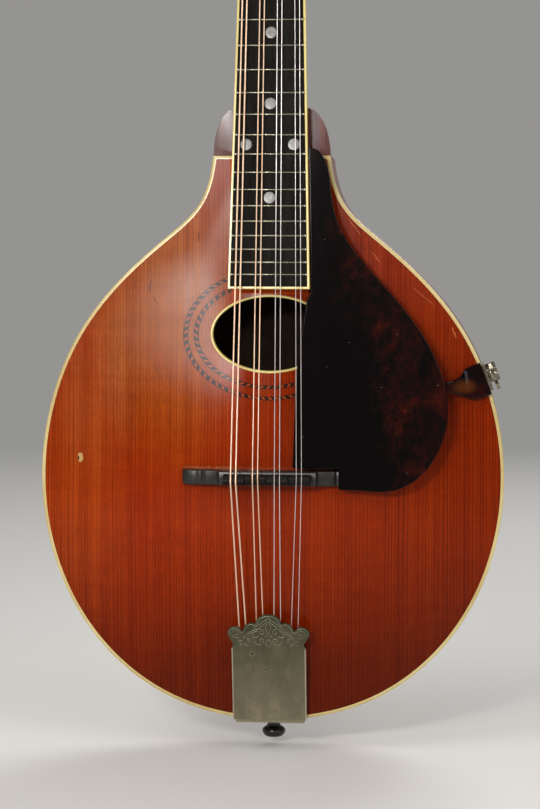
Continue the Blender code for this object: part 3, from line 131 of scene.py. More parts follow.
# Strings and bridge
STRING_RADII = (0.00046, 0.00046, 0.00034, 0.00034, 0.00024, 0.00024, 0.00019, 0.00019)
SADDLE_OFFSETS = (-0.0010, 0.0005, -0.0008, 0.0006)
STRING_LEVEL_SADDLE = 0.0041
STRING_LEVEL_NUT = 0.0014
COURSE_PITCH_NUT, PAIR_NUT = 0.00858, 0.0024
COURSE_PITCH_SADDLE, PAIR_SADDLE = 0.01185, 0.0028
COURSE_PITCH_HOOK, PAIR_HOOK = 0.0090, 0.0039
HOOK_RISE, HOOK_Z = 0.0080, -0.1040
HOOK_HALF_LENGTH = 0.0006
BRIDGE_HEIGHT = 0.0095
BRIDGE_HALF_LENGTH = 0.0475
SADDLE_HALF_SPAN = 0.0262
SADDLE_HALF_DEPTH = 0.0026
BRIDGE_HALF_FOOT = 0.00415

# Tailpiece and end pin
BASE_SEAT = 0.0004
BASE_THICKNESS = 0.0010
COVER_PLACE = (0.0, -0.0164, -0.0750)
COVER_SLOPE = math.atan(0.2)
ENGRAVING_LEVEL = -0.00002
PIN_Y = 0.0220
PIN_SHANK = 0.0135

# Frames of the body, the neck, the headstock and the tailpiece cover
edge_low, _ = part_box("body_binding")
OFFSET = Vector((0.0, edge_low.y, edge_low.z + TAIL_LENGTH))
BODY = Matrix.Translation(OFFSET)
NECK = (BODY @ Matrix.Translation((0.0, -BOARD_RISE, JOIN_Z))
        @ Matrix.Rotation(-NECK_ANGLE, 4, "X"))
HEAD_RUN = NUT_RUN + NUT_LENGTH + 2 * GAP + VENEER * math.sin(HEAD_ANGLE)
HEAD = (NECK @ Matrix.Translation((0.0, BOARD_THICKNESS - VENEER, HEAD_RUN))
        @ Matrix.Rotation(-HEAD_ANGLE, 4, "X"))
COVER = BODY @ Matrix.Translation(COVER_PLACE) @ Matrix.Rotation(COVER_SLOPE, 4, "X")

BACKGROUND = (0.30, 0.296, 0.286, 1.0)
WARM_LIGHT = (1.0, 0.98, 0.95)
WHITE_LIGHT = (1.0, 1.0, 1.0)


# Materials

class Finish:
    """Node material with short calls for the textures and sums that drive it."""

    def __init__(self, name):
        self.material = bpy.data.materials.new(name)
        self.material.use_nodes = True
        self.tree = self.material.node_tree
        self.shader = self.tree.nodes["Principled BSDF"]
        self.place = self.node("ShaderNodeTexCoord").outputs["Object"]

    def put(self, socket, value):
        if isinstance(value, bpy.types.NodeSocket):
            self.tree.links.new(value, socket)
        elif isinstance(value, tuple) and len(value) == 3 and socket.type == "RGBA":
            socket.default_value = (*value, 1.0)
        else:
            socket.default_value = value

    def node(self, kind, inputs=None, **settings):
        """New node with its settings made and its inputs set or linked."""
        made = self.tree.nodes.new(kind)
        for key, value in settings.items():
            setattr(made, key, value)
        for key, value in (inputs or {}).items():
            self.put(made.inputs[key], value)
        return made

    def scaled(self, scale, turn=(0.0, 0.0, 0.0)):
        """The object's own place, stretched and turned."""
        mapping = self.node("ShaderNodeMapping",
                            {"Vector": self.place, "Scale": scale, "Rotation": turn})
        return mapping.outputs["Vector"]

    def texture(self, kind, place, **inputs):
        """Texture at a place: a socket, a stretch of the object's own place, or None for that."""
        place = self.scaled(place) if isinstance(place, tuple) else place or self.place
        return self.node(kind, {"Vector": place, **inputs}).outputs

    def noise(self, scale, place=None, detail=3.0, rough=0.5, warp=0.0):
        return self.texture("ShaderNodeTexNoise", place, Scale=scale, Detail=detail,
                            Roughness=rough, Distortion=warp)["Fac"]

    def cells(self, scale, place=None):
        return self.texture("ShaderNodeTexVoronoi", place, Scale=scale)["Distance"]

    def ramp(self, value, stops):
        made = self.node("ShaderNodeValToRGB", {"Fac": value})
        points = made.color_ramp.elements
        while len(points) < len(stops):
            points.new(0.5)
        for point, (place, colour) in zip(points, stops):
            point.position = place
            point.color = (*colour, 1.0) if isinstance(colour, tuple) else (colour,) * 3 + (1.0,)
        return made.outputs["Color"]

    def mix(self, share, first, second, blend="MIX"):
        made = self.node("ShaderNodeMix", {"Factor": share, "A": first, "B": second},
                         data_type="RGBA", blend_type=blend)
        return made.outputs["Result"]

    def shade(self, colour, by, share=1.0):
        return self.mix(share, colour, by, "MULTIPLY")

    def math(self, operation, first, second=0.0, third=0.0, clamp=False):
        made = self.node("ShaderNodeMath", {0: first, 1: second, 2: third},
                         operation=operation, use_clamp=clamp)
        return made.outputs["Value"]

    def plus(self, first, second, clamp=False):
        return self.math("ADD", first, second, clamp=clamp)

    def minus(self, first, second):
        return self.math("SUBTRACT", first, second)

    def times(self, first, second, clamp=False):
        return self.math("MULTIPLY", first, second, clamp=clamp)

    def over(self, first, second, clamp=False):
        return self.math("DIVIDE", first, second, clamp=clamp)

    def line(self, value, slope, start, clamp=False):
        return self.math("MULTIPLY_ADD", value, slope, start, clamp)

    def reach(self, u, v):
        return self.math("SQRT", self.plus(self.math("POWER", u, 2.0), self.math("POWER", v, 2.0)))

    def split(self):
        made = self.node("ShaderNodeSeparateXYZ", {"Vector": self.place})
        return made.outputs["X"], made.outputs["Y"], made.outputs["Z"]

    def front(self):
        """X and Z in body coordinates."""
        x, _, height = self.split()
        return x, self.minus(height, OFFSET.z)

    def band(self, value, middle, half, soft):
        """1 within half of the middle, falling to 0 over the soft edge."""
        away = self.math("ABSOLUTE", self.minus(value, middle))
        return self.over(self.minus(half + soft, away), soft, clamp=True)

    def oval(self, x, z, middle, half, soft=0.3):
        """1 inside an oval, falling to 0 over a soft share of its size."""
        u = self.over(self.minus(x, middle[0]), half[0])
        v = self.over(self.minus(z, middle[1]), half[1])
        return self.over(self.minus(1.0 + soft, self.reach(u, v)), soft, clamp=True)

    def bump(self, height, strength, distance):
        made = self.node("ShaderNodeBump",
                         {"Height": height, "Strength": strength, "Distance": distance})
        return made.outputs["Normal"]

    def set(self, **values):
        names = {"colour": "Base Color", "rough": "Roughness", "metal": "Metallic",
                 "normal": "Normal", "coat": "Coat Weight", "coat_rough": "Coat Roughness",
                 "specular": "Specular IOR Level", "sss": "Subsurface Weight",
                 "sss_scale": "Subsurface Scale"}
        for key, value in values.items():
            self.put(self.shader.inputs[names[key]], value)
        return self.material


# Middle, half size, soft share and change of colour of each patch painted lighter and more orange
# on the bass side: partly faded stain, partly painted sheen
FADED_AND_SHEEN_PATCHES = (
    ((-0.0560, 0.1050), (0.0130, 0.0300), 2.7, (1.12, 3.4, 10.0)),
    ((-0.1100, -0.0050), (0.0120, 0.0300), 2.4, (1.0, 1.5, 6.0)),
    ((-0.0980, 0.0600), (0.0120, 0.0240), 1.8, (1.0, 1.6, 5.0)),
)
# Half width and half height in millimetres, strands and slant of each rope ring
ROPE_RINGS = ((40.5, 28.7, 57.0, 1.5), (46.3, 34.8, 66.0, -1.5))
# Middle, half size and lean of each mark in the varnish. The lit scratches are painted pale: a
# painted highlight where their dents catch the light
LIT_SCRATCHES = (
    ((0.0455, 0.1365), (0.00022, 0.0034), -0.75),
    ((0.0573, 0.1200), (0.00022, 0.0022), -0.8),
    ((0.0835, 0.0985), (0.00020, 0.0034), -1.25),
    ((0.1000, 0.0790), (0.00030, 0.0022), -0.3),
)
DARK_MARKS = (
    ((-0.0670, 0.1040), (0.0004, 0.0024), 0.1),
    ((-0.0640, 0.0960), (0.0003, 0.0018), -0.5),
    ((-0.0400, 0.1310), (0.0003, 0.0022), 0.0),
)
SCRATCH_GLINT, DARK_MARK = (0.45, 0.130, 0.040), (0.050, 0.007, 0.003)
CHIP_MIDDLE, CHIP_SIZE = (-0.1060, 0.0090), (0.0015, 0.0024)
YEARS_PER_METRE = 520.0
WRAP_PITCH = 0.00042


def grain(f):
    """Stained wood with year lines up the body, its stripes and its finest hairs."""
    x, _, height = f.split()
    sway = f.noise(6.0, (1.0, 1.0, 0.6), 2.0)
    across = f.plus(x, f.line(sway, 0.005, -0.0025))
    thread = f.node("ShaderNodeCombineXYZ",
                    {"X": across, "Z": f.times(height, 0.012)}).outputs["Vector"]
    years = f.line(f.noise(80.0, thread, 2.0), 3.0, f.times(across, YEARS_PER_METRE))
    year = f.ramp(f.math("FRACT", years),
                  ((0.0, 0.74), (0.20, 1.0), (0.62, 0.97), (0.85, 0.56), (1.0, 0.74)))
    strength = f.ramp(f.noise(150.0, thread, 3.0, 0.6), ((0.36, 0.42), (0.64, 0.96)))
    stripes = f.noise(190.0, thread, 3.0, 0.55)
    hair = f.noise(1150.0, (1.0, 1.0, 0.035), 3.0, 0.6)
    wood = f.ramp(stripes, ((0.28, (0.246, 0.0170, 0.0003)), (0.50, (0.300, 0.0240, 0.0004)),
                            (0.72, (0.362, 0.0345, 0.0007))))
    wood = f.mix(strength, wood, f.shade(wood, year))
    wood = f.shade(wood, f.ramp(hair, ((0.34, 0.62), (0.62, 1.0))), 0.40)
    silk = f.noise(42.0, (1.0, 1.0, 0.5), 4.0, 0.6)
    wood = f.shade(wood, f.ramp(silk, ((0.30, (0.72, 0.62, 0.58)), (0.60, 1.0))), 0.45)
    ripple = f.noise(62.0, (0.45, 1.0, 2.6), 3.0, 0.6, 0.4)
    wood = f.shade(wood, f.ramp(ripple, ((0.34, (0.80, 0.68, 0.60)), (0.58, 1.0))), 0.40)
    fleck = f.noise(520.0, (1.0, 1.0, 0.8), 3.0, 0.6)
    wood = f.shade(wood, f.ramp(fleck, ((0.34, 0.66), (0.60, 1.0))), 0.30)
    return wood, stripes, hair


def rope_ring(f, wood, u, v, wide, tall, strands, slant):
    """Oval inlay of slanting strands between two dark lines. It measures in millimetres."""
    across, up = f.over(u, wide), f.over(v, tall)
    out = f.times(f.minus(f.reach(across, up), 1.0), (wide + tall) / 2)
    along = f.plus(f.math("ARCTAN2", v, u), f.math("ARCTAN2", up, across))
    turn = f.line(out, slant, f.times(along, strands / 2))
    strand = f.line(f.math("SINE", turn), 2.2, 1.35, clamp=True)
    inlay = f.mix(strand, (0.34, 0.052, 0.008), (0.0130, 0.0085, 0.0070))
    rest = f.mix(strand, (0.16, 0.022, 0.005), (0.040, 0.014, 0.008))
    inlay = f.mix(f.band(out, 0.0, 0.50, 0.25), rest, inlay)
    edge = f.band(f.math("ABSOLUTE", out), 1.08, 0.10, 0.12)
    inlay = f.mix(edge, inlay, (0.016, 0.008, 0.006))
    return f.mix(f.band(out, 0.0, 1.20, 0.12), wood, inlay)


def spruce():
    """Stained spruce with rope rings let in round the soundhole, wear, and some painted sheen,
    shade and highlights.
    """
    f = Finish("spruce_varnished")
    x, z = f.front()
    wood, stripes, hair = grain(f)
    # Painted darker towards the tail and the treble side: partly stain, partly painted shade on the
    # side away from the lamps
    low = f.ramp(f.times(z, -8.0), ((0.20, 1.0), (0.52, 0.76), (0.84, 0.46), (1.0, 0.40)))
    side = f.ramp(f.line(x, 4.0, 0.5), ((0.20, 1.0), (0.50, 0.92), (0.90, 0.72)))
    wood = f.shade(f.shade(wood, low), side)
    # Patches painted lighter and more orange on the bass side: partly faded stain, partly painted
    # sheen
    for middle, size, soft, change in FADED_AND_SHEEN_PATCHES:
        wood = f.shade(wood, change, f.times(f.oval(x, z, middle, size, soft), 0.85))
    specks = f.cells(240.0, (1.0, 1.0, 0.5))
    wood = f.mix(f.math("LESS_THAN", specks, 0.045), wood, (0.055, 0.008, 0.003))

    u = f.line(x, 1000.0, 0.5)
    v = f.times(f.minus(z, HOLE_Z - 0.0003), 1000.0)
    for rope in ROPE_RINGS:
        wood = rope_ring(f, wood, u, v, *rope)

    # Strip along the fingerboard painted brighter and made duller: painted light for the band
    # beside the board where the varnish shows no sheen
    beside = f.plus(f.math("ABSOLUTE", x), f.times(f.minus(z, 0.104), 0.0237))
    wide = f.line(f.minus(z, 0.128), 0.053, BOARD_END_HALF_WIDTH)
    strip = f.over(f.minus(wide, beside), 0.0004, clamp=True)
    strip = f.times(strip, f.math("GREATER_THAN", z, 0.1))
    wood = f.mix(f.times(strip, 0.8), wood, (0.50, 0.062, 0.004))

    ragged = f.line(f.noise(420.0), 0.0016, -0.0008)
    worn_x, worn_z = f.plus(x, ragged), f.plus(z, ragged)
    chip = f.oval(worn_x, worn_z, CHIP_MIDDLE, CHIP_SIZE, 0.15)
    wood = f.mix(chip, wood, f.mix(hair, (0.30, 0.15, 0.045), (0.52, 0.33, 0.13)))
    slot = f.oval(x, z, (-0.1070, 0.0086), (0.00035, 0.0011))
    wood = f.mix(slot, wood, (0.012, 0.006, 0.003))

    # Broken pale line where the bridge has stood before
    seat = f.ramp(f.line(x, 10.0, 0.5), ((0.02, 0.0), (0.04, 0.60), (0.24, 0.5), (0.36, 0.30),
                                         (0.62, 0.20), (0.90, 0.15), (0.97, 0.0)))
    seat = f.times(f.band(worn_z, 0.0050, 0.0003, 0.0006), seat)
    seat = f.times(seat, f.ramp(f.noise(700.0, None, 2.0), ((0.40, 0.3), (0.60, 1.0))))
    wood = f.mix(seat, wood, (0.32, 0.13, 0.045))
    # Pale scratches are painted highlights of dents that catch the light; dark marks are marks in
    # the varnish
    for colour, marks in ((SCRATCH_GLINT, LIT_SCRATCHES), (DARK_MARK, DARK_MARKS)):
        for spot, half, lean in marks:
            leaning = f.line(f.minus(z, spot[1]), -lean, worn_x)
            mark = f.oval(leaning, worn_z, spot, half, 0.8)
            wood = f.mix(f.times(mark, 0.65), wood, colour)

    height = f.line(f.noise(30.0, None, 4.0, 0.55), 0.9, f.times(hair, 0.20))
    height = f.minus(height, f.times(chip, 0.5))
    dull = f.ramp(f.noise(24.0, (1.0, 1.0, 0.5), 5.0, 0.6), ((0.35, 0.19), (0.7, 0.26)))
    dull = f.line(stripes, 0.10, f.minus(dull, 0.11))
    dull = f.line(f.times(f.minus(z, 0.045), 18.0, clamp=True), 0.06, dull)
    dull = f.math("MAXIMUM", dull, f.times(f.math("MAXIMUM", strip, chip), 0.9))
    gloss = f.ramp(z, ((0.085, 0.10), (0.150, 0.16)))
    return f.set(colour=wood, rough=dull, normal=f.bump(height, 0.10, 0.0010), specular=gloss)


def figured(name, light, dark, scale, rough, coat, specular):
    """Hardwood with fine grain along the neck."""
    f = Finish(name)
    place = f.scaled((1.0, 1.0, 0.05))
    lines = f.noise(340.0 * scale, place, 4.0, 0.62, 0.6)
    wide = f.noise(48.0 * scale, place, 3.0, 0.5, 0.8)
    pores = f.noise(1400.0 * scale, place, 1.0)
    wood = f.ramp(f.plus(f.times(lines, 0.55), f.times(wide, 0.45)), ((0.36, dark), (0.62, light)))
    wood = f.mix(f.times(f.ramp(pores, ((0.60, 0.0), (0.70, 1.0))), 0.55), wood,
                 tuple(part * 0.45 for part in dark))
    height = f.minus(lines, f.times(pores, 0.4))
    shine = f.ramp(f.noise(30.0, None, 4.0, 0.6), ((0.3, rough * 0.8), (0.75, rough * 1.35)))
    return f.set(colour=wood, rough=shine, normal=f.bump(height, 0.10, 0.0004), coat=coat,
                 coat_rough=0.18, specular=specular)


def ebony(name, along, rough, tone, specular):
    """Near-black wood with fine grain along one axis and a worn, uneven polish."""
    f = Finish(name)
    place = f.scaled(along)
    lines = f.noise(900.0, place, 3.0, 0.65)
    wood = f.ramp(f.plus(f.times(lines, 0.6), f.times(f.noise(120.0, place), 0.4)),
                  ((0.35, tuple(tone * c for c in (0.0040, 0.0037, 0.0033))),
                   (0.66, tuple(tone * c for c in (0.0170, 0.0155, 0.0130)))))
    shine = f.ramp(f.noise(45.0, None, 4.0), ((0.3, rough * 0.85), (0.7, rough * 1.15)))
    return f.set(colour=wood, rough=shine, normal=f.bump(lines, 0.12, 0.0003), specular=specular)


def celluloid(name, pale, aged, rough=0.30):
    """Cream plastic that has yellowed unevenly."""
    f = Finish(name)
    lines = f.noise(700.0, (1.0, 1.0, 0.08), 2.0)
    tint = f.mix(f.ramp(f.noise(26.0, None, 5.0, 0.6), ((0.36, 0.0), (0.74, 1.0))), pale, aged)
    tint = f.shade(tint, f.ramp(lines, ((0.35, 0.78), (0.65, 1.0))), 0.22)
    dirt = f.ramp(f.noise(260.0, None, 4.0, 0.7), ((0.62, 0.0), (0.74, 0.6)))
    tint = f.mix(dirt, tint, (0.20, 0.09, 0.025))
    return f.set(colour=tint, rough=rough, sss=0.06, sss_scale=0.001, coat=0.3, coat_rough=0.15,
                 normal=f.bump(f.noise(180.0), 0.08, 0.0003))


def tortoiseshell():
    """Nearly black sheet with red clouds towards its outer edge and an amber spot on the arm."""
    f = Finish("tortoiseshell")
    place = f.scaled((1.0, 1.0, 0.8), (0.0, 0.5, 0.0))
    cloud = f.noise(46.0, place, 5.0, 0.66, 0.8)
    small = f.noise(190.0, place, 5.0, 0.75, 0.6)
    x, z = f.front()
    start = f.math("MAXIMUM", f.line(f.minus(0.131, z), 0.46, 0.034), 0.032)
    right = f.times(f.minus(x, f.math("MINIMUM", start, 0.067)), 7.0)
    right = f.math("MINIMUM", f.math("MAXIMUM", right, -0.20), 0.03)
    tone = f.plus(f.plus(f.times(cloud, 0.62), f.times(small, 0.38)), right)
    colour = f.ramp(tone, ((0.46, (0.0012, 0.0007, 0.0007)), (0.53, (0.0060, 0.0013, 0.0009)),
                           (0.61, (0.019, 0.0020, 0.0010)), (0.72, (0.075, 0.008, 0.002))))
    amber = f.oval(x, z, (0.1060, 0.0500), (0.0030, 0.0018), 1.6)
    colour = f.mix(f.times(amber, f.math("GREATER_THAN", x, 0.0985)), colour,
                   (0.064, 0.015, 0.0016))
    colour = f.mix(f.math("LESS_THAN", f.cells(120.0), 0.030), colour, (0.10, 0.09, 0.085))
    scuff = f.noise(14.0, (1.0, 1.0, 0.3), 5.0, 0.7)
    return f.set(colour=colour, rough=f.ramp(scuff, ((0.35, 0.07), (0.75, 0.15))), specular=0.13,
                 normal=f.bump(f.noise(18.0), 0.05, 0.002))


def metal(name, bright, tarnish, rough, spread, bump=0.05):
    """Plated metal with tarnish in patches, fine scratches and dull spots."""
    f = Finish(name)
    patch = f.noise(40.0, None, 5.0, 0.62, 0.4)
    spots = f.noise(420.0, None, 3.0, 0.6)
    share = f.times(f.ramp(patch, ((0.30, 0.0), (0.70, 1.0))), spread)
    share = f.plus(share, f.times(f.ramp(spots, ((0.58, 0.0), (0.72, 1.0))), 0.3), clamp=True)
    shine = f.line(share, rough * 0.9, rough * 0.8)
    return f.set(colour=f.mix(share, bright, tarnish), rough=shine, metal=1.0,
                 normal=f.bump(f.noise(1900.0, None, 2.0, 0.7), bump, 0.00015))


def cover_metal():
    """Nickel that is darker and greener at the top and lighter at the foot, with side edges near
    the foot painted bright: partly wear, partly painted highlight.
    """
    f = Finish("cover_nickel")
    x, z = f.front()
    patch = f.noise(75.0, (1.0, 1.0, 0.7), 5.0, 0.65, 0.5)
    streak = f.noise(130.0, (1.0, 1.0, 0.12), 3.0, 0.6)
    tone = f.plus(f.times(f.minus(-0.077, z), 14.5), f.line(patch, 0.75, -0.375))
    tone = f.plus(tone, f.line(streak, 0.40, -0.20))
    colour = f.ramp(tone, ((0.0, (0.078, 0.080, 0.050)), (0.35, (0.150, 0.142, 0.092)),
                           (0.70, (0.225, 0.205, 0.138)), (1.0, (0.340, 0.300, 0.205))))
    spots = f.ramp(f.noise(520.0, None, 3.0, 0.6), ((0.60, 0.0), (0.74, 0.45)))
    colour = f.mix(spots, colour, (0.075, 0.068, 0.045))
    # Side edges near the foot painted bright: worn metal and a painted highlight along the edge
    rim = f.ramp(f.times(f.math("ABSOLUTE", x), 40.0), ((0.786, 0.0), (0.806, 0.85)))
    rim = f.times(rim, f.math("LESS_THAN", z, -0.0945))
    colour = f.mix(rim, colour, (0.66, 0.60, 0.45))
    for spot, size in (((-0.0091, -0.0976), 0.0005), ((-0.0017, -0.1066), 0.0004)):
        halo = f.oval(x, z, spot, (size * 2.6, size * 2.6), 0.5)
        colour = f.mix(f.times(halo, 0.35), colour, (0.30, 0.27, 0.18))
        colour = f.mix(f.oval(x, z, spot, (size, size)), colour, (0.020, 0.016, 0.010))
    scratch = f.noise(1900.0, (1.0, 1.0, 0.25), 2.0, 0.7)
    return f.set(colour=colour, rough=f.line(patch, 0.30, 0.24), metal=1.0,
                 normal=f.bump(scratch, 0.05, 0.00015))


def wound():
    """Wrapped string: fine turns of copper wire down its length."""
    f = Finish("copper_wound")
    _, _, height = f.split()
    turns = f.math("SINE", f.times(height, FULL_TURN / WRAP_PITCH))
    patch = f.ramp(f.noise(60.0, None, 4.0), ((0.35, 0.0), (0.72, 0.7)))
    return f.set(colour=f.mix(patch, (0.98, 0.70, 0.50), (0.84, 0.54, 0.36)), rough=0.34,
                 metal=0.85, normal=f.bump(turns, 0.35, 0.00008))


def pearl():
    f = Finish("pearl")
    swirl = f.noise(260.0, (1.0, 1.0, 0.6), 3.0, 0.55, 2.2)
    fine = f.noise(1300.0, None, 3.0, 0.7, 1.0)
    colour = f.ramp(f.plus(f.times(swirl, 0.55), f.times(fine, 0.45)),
                    ((0.32, (0.085, 0.09, 0.09)), (0.48, (0.17, 0.17, 0.16)),
                     (0.60, (0.27, 0.26, 0.24)), (0.72, (0.14, 0.15, 0.15))))
    return f.set(colour=colour, rough=0.30, specular=0.4)


def plain(name, colour, second, rough, scale, coat=0.0):
    """One colour with patches of a second."""
    f = Finish(name)
    patch = f.ramp(f.noise(scale, None, 5.0, 0.6), ((0.35, 0.0), (0.70, 1.0)))
    return f.set(colour=f.mix(patch, colour, second), rough=rough, coat=coat, coat_rough=0.12,
                 normal=f.bump(f.noise(scale * 9.0), 0.10, 0.0003))


ALONG, ACROSS = (1.0, 1.0, 0.03), (0.03, 1.0, 1.0)
LOOKS = {
    "spruce": spruce(),
    "birch": figured("birch_stained", (0.200, 0.028, 0.0060), (0.080, 0.010, 0.0030), 0.8, 0.30,
                     0.2, 0.35),
    "mahogany": figured("mahogany_filled", (0.120, 0.034, 0.026), (0.050, 0.012, 0.011), 1.0,
                        0.34, 0.25, 0.35),
    # Inside wood painted near-black: painted shade of the closed box over bare wood
    "inside": figured("wood_inside_painted_dark", (0.019, 0.011, 0.006), (0.009, 0.005, 0.0025), 1.0, 0.85, 0.0,
                      0.12),
    "board": ebony("ebony_board", ALONG, 0.66, 0.9, 0.04),
    "bridge": ebony("ebony_bridge", ACROSS, 0.36, 1.0, 0.42),
    "saddle": ebony("ebony_saddle", ACROSS, 0.50, 0.7, 0.12),
    "veneer": ebony("ebony_veneer", (1.0, 1.0, 0.05), 0.30, 0.6, 0.22),
    "pin": plain("pin_black", (0.0030, 0.0030, 0.0032), (0.0060, 0.0055, 0.005), 0.20, 60.0, 0.15),
    "cream": celluloid("cream_binding", (0.60, 0.48, 0.21), (0.46, 0.32, 0.10)),
    "board_cream": celluloid("board_binding", (0.70, 0.58, 0.20), (0.56, 0.42, 0.11)),
    "bone": plain("bone_nut", (0.66, 0.58, 0.42), (0.52, 0.42, 0.26), 0.36, 120.0, 0.2),
    "button": celluloid("ivoroid_button", (0.72, 0.62, 0.42), (0.56, 0.44, 0.25), 0.22),
    "tortoise": tortoiseshell(),
    "cover": cover_metal(),
    "engraving": metal("cover_engraving", (0.40, 0.38, 0.28), (0.24, 0.23, 0.16), 0.34, 0.8),
    "cover_base": metal("cover_base", (0.36, 0.33, 0.23), (0.20, 0.18, 0.12), 0.30, 0.6),
    "nickel": metal("clamp_nickel", (0.46, 0.42, 0.33), (0.12, 0.10, 0.065), 0.18, 0.9),
    "machine": metal("machine_nickel", (0.60, 0.57, 0.48), (0.34, 0.30, 0.21), 0.24, 0.6),
    "fret": metal("fret_wire", (0.44, 0.41, 0.31), (0.32, 0.28, 0.20), 0.28, 0.5, 0.02),
    "fret_end": metal("fret_end", (0.86, 0.82, 0.72), (0.70, 0.65, 0.52), 0.40, 0.4, 0.01),
    "copper": wound(),
    "silver": metal("plain_steel", (0.88, 0.81, 0.80), (0.72, 0.65, 0.64), 0.34, 0.4, 0.01),
    "pearl": pearl(),
    "dark": plain("dark_line", (0.016, 0.012, 0.008), (0.030, 0.020, 0.012), 0.6, 200.0),
}


# Shapes

def show(name, data, look, body="instrument", matrix=None, replaces=(), sharp=40.0):
    """Piece in its place, riding on a body. A mesh is put into the row frame first."""
    data.name = name
    if matrix is not None:
        data.transform(matrix)
    piece = bpy.data.objects.new(name, data)
    bpy.context.scene.collection.objects.link(piece)
    data.materials.append(LOOKS[look])
    if isinstance(data, bpy.types.Mesh):
        data.shade_smooth()
        data.set_sharp_from_angle(angle=math.radians(sharp))
    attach(piece, body)
    if replaces:
        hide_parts(*replaces)
    return piece


def loft(loops, wrap=False):
    """Skin over a row of loops, capped at both ends or wrapped round to the first, facing out."""
    count = len(loops[0])
    points = [point for loop in loops for point in loop]
    starts = list(range(0, len(points), count))
    pairs = list(zip(starts, starts[1:]))
    if wrap:
        pairs.append((starts[-1], 0))
    faces = []
    for first, second in pairs:
        for j in range(count):
            k = (j + 1) % count
            faces.append((first + j, first + k, second + k, second + j))
    if not wrap:
        faces.append(tuple(range(count)))
        faces.append(tuple(range(starts[-1], starts[-1] + count)))
    mesh = bpy.data.meshes.new("loft")
    mesh.from_pydata([tuple(point) for point in points], [], faces)
    shape = bmesh.new()
    shape.from_mesh(mesh)
    bmesh.ops.recalc_face_normals(shape, faces=shape.faces)
    if shape.calc_volume(signed=True) < 0:
        bmesh.ops.reverse_faces(shape, faces=shape.faces)
    shape.to_mesh(mesh)
    shape.free()
    return mesh


def lined(piece, inner):
    """Bare wood, painted near-black as the shade inside the box, on the faces that look into the
    box.
    """
    piece.data.materials.append(LOOKS["inside"])
    for face in piece.data.polygons:
        if inner(face.normal, face.center):
            face.material_index = 1


def ring(radius, sides):
    steps = [FULL_TURN * k / sides for k in range(sides)]
    return [(radius * math.cos(a), radius * math.sin(a)) for a in steps]


def turned(profile, sides, place=None, upright=False):
    """Round part from its places along the axis and radii. The axis is Y, or Z if upright."""
    loops = []
    for along, radius in profile:
        circle = ring(radius, sides)
        loops.append([(u, v, along) if upright else (u, along, v) for u, v in circle])
    mesh = loft(loops)
    if place:
        mesh.transform(Matrix.Translation(place))
    return mesh


def joined(meshes):
    shape = bmesh.new()
    for mesh in meshes:
        shape.from_mesh(mesh)
    whole = bpy.data.meshes.new("whole")
    shape.to_mesh(whole)
    shape.free()
    return whole


def rounded(piece, width, segments):
    step = piece.modifiers.new("Round", "BEVEL")
    step.width = width
    step.segments = segments
    step.limit_method = "ANGLE"
    step.angle_limit = math.radians(35.0)
    step.harden_normals = True


def carved(name, loops, look, node, sharp, wrap=False):
    """Piece that is lofted in body coordinates and takes a node's place."""
    return show(name, loft(loops, wrap), look, matrix=BODY, replaces=(node,), sharp=sharp)


def from_node(node, look, bevel, body="instrument", segments=2):
    """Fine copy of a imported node: welded, smooth and with softened edges."""
    shape = bmesh.new()
    shape.from_mesh(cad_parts[node].data)
    bmesh.ops.remove_doubles(shape, verts=shape.verts, dist=0.000002)
    flat = math.radians(1.0)
    bmesh.ops.dissolve_limit(shape, angle_limit=flat, verts=shape.verts, edges=shape.edges)
    mesh = bpy.data.meshes.new(node + "_fine")
    shape.to_mesh(mesh)
    shape.free()
    piece = show(node + "_fine", mesh, look, body, replaces=(node,), sharp=35.0)
    rounded(piece, bevel, segments)
    return piece


def tube(name, paths, radius, look, body="instrument", matrix=Matrix(), sides=3, replaces=()):
    """Round wires of one radius along a list of paths."""
    curve = bpy.data.curves.new(name, "CURVE")
    curve.dimensions = "3D"
    curve.bevel_depth = radius
    curve.bevel_resolution = sides
    curve.use_fill_caps = True
    for points in paths:
        spline = curve.splines.new("POLY")
        spline.points.add(len(points) - 1)
        for knot, point in zip(spline.points, points):
            knot.co = (*(matrix @ Vector(point)), 1.0)
        spline.use_smooth = True
    show(name, curve, look, body, replaces=replaces)


def lengths(path):
    """Distance walked along a path to each of its points."""
    return np.concatenate(([0.0], np.cumsum(np.linalg.norm(np.diff(path, axis=0), axis=1))))


def smooth_path(controls, count):
    """Evenly spaced points on the natural cubic spline through the controls."""
    nodes = np.array(controls, dtype=float)
    last = len(nodes) - 1
    knots = lengths(nodes)
    steps = np.linalg.norm(np.diff(nodes, axis=0), axis=1)
    system = np.eye(last + 1)
    right = np.zeros_like(nodes)
    for i in range(1, last):
        before, after = steps[i - 1], steps[i]
        system[i, i - 1:i + 2] = (before, 2 * (before + after), after)
        right[i] = 6 * ((nodes[i + 1] - nodes[i]) / after - (nodes[i] - nodes[i - 1]) / before)
    bend = np.linalg.solve(system, right)
    fine = np.linspace(0.0, knots[-1], 40 * last + 1)
    part = np.clip(np.searchsorted(knots, fine, side="right") - 1, 0, last - 1)
    span = steps[part][:, None]
    ahead = (knots[part + 1] - fine)[:, None]
    behind = (fine - knots[part])[:, None]
    curve = (bend[part] * ahead ** 3 + bend[part + 1] * behind ** 3) / (6 * span)
    curve += (nodes[part] / span - bend[part] * span / 6) * ahead
    curve += (nodes[part + 1] / span - bend[part + 1] * span / 6) * behind
    walked = lengths(curve)
    wanted = np.linspace(0.0, walked[-1], count)
    return np.column_stack([np.interp(wanted, walked, curve[:, k]) for k in range(nodes.shape[1])])


def shifted(path, distance):
    """Path moved sideways, to the right of its own run."""
    along = np.gradient(path, axis=0)
    along /= np.linalg.norm(along, axis=1)[:, None]
    return path + distance * np.column_stack((along[:, 1], -along[:, 0]))


# Body

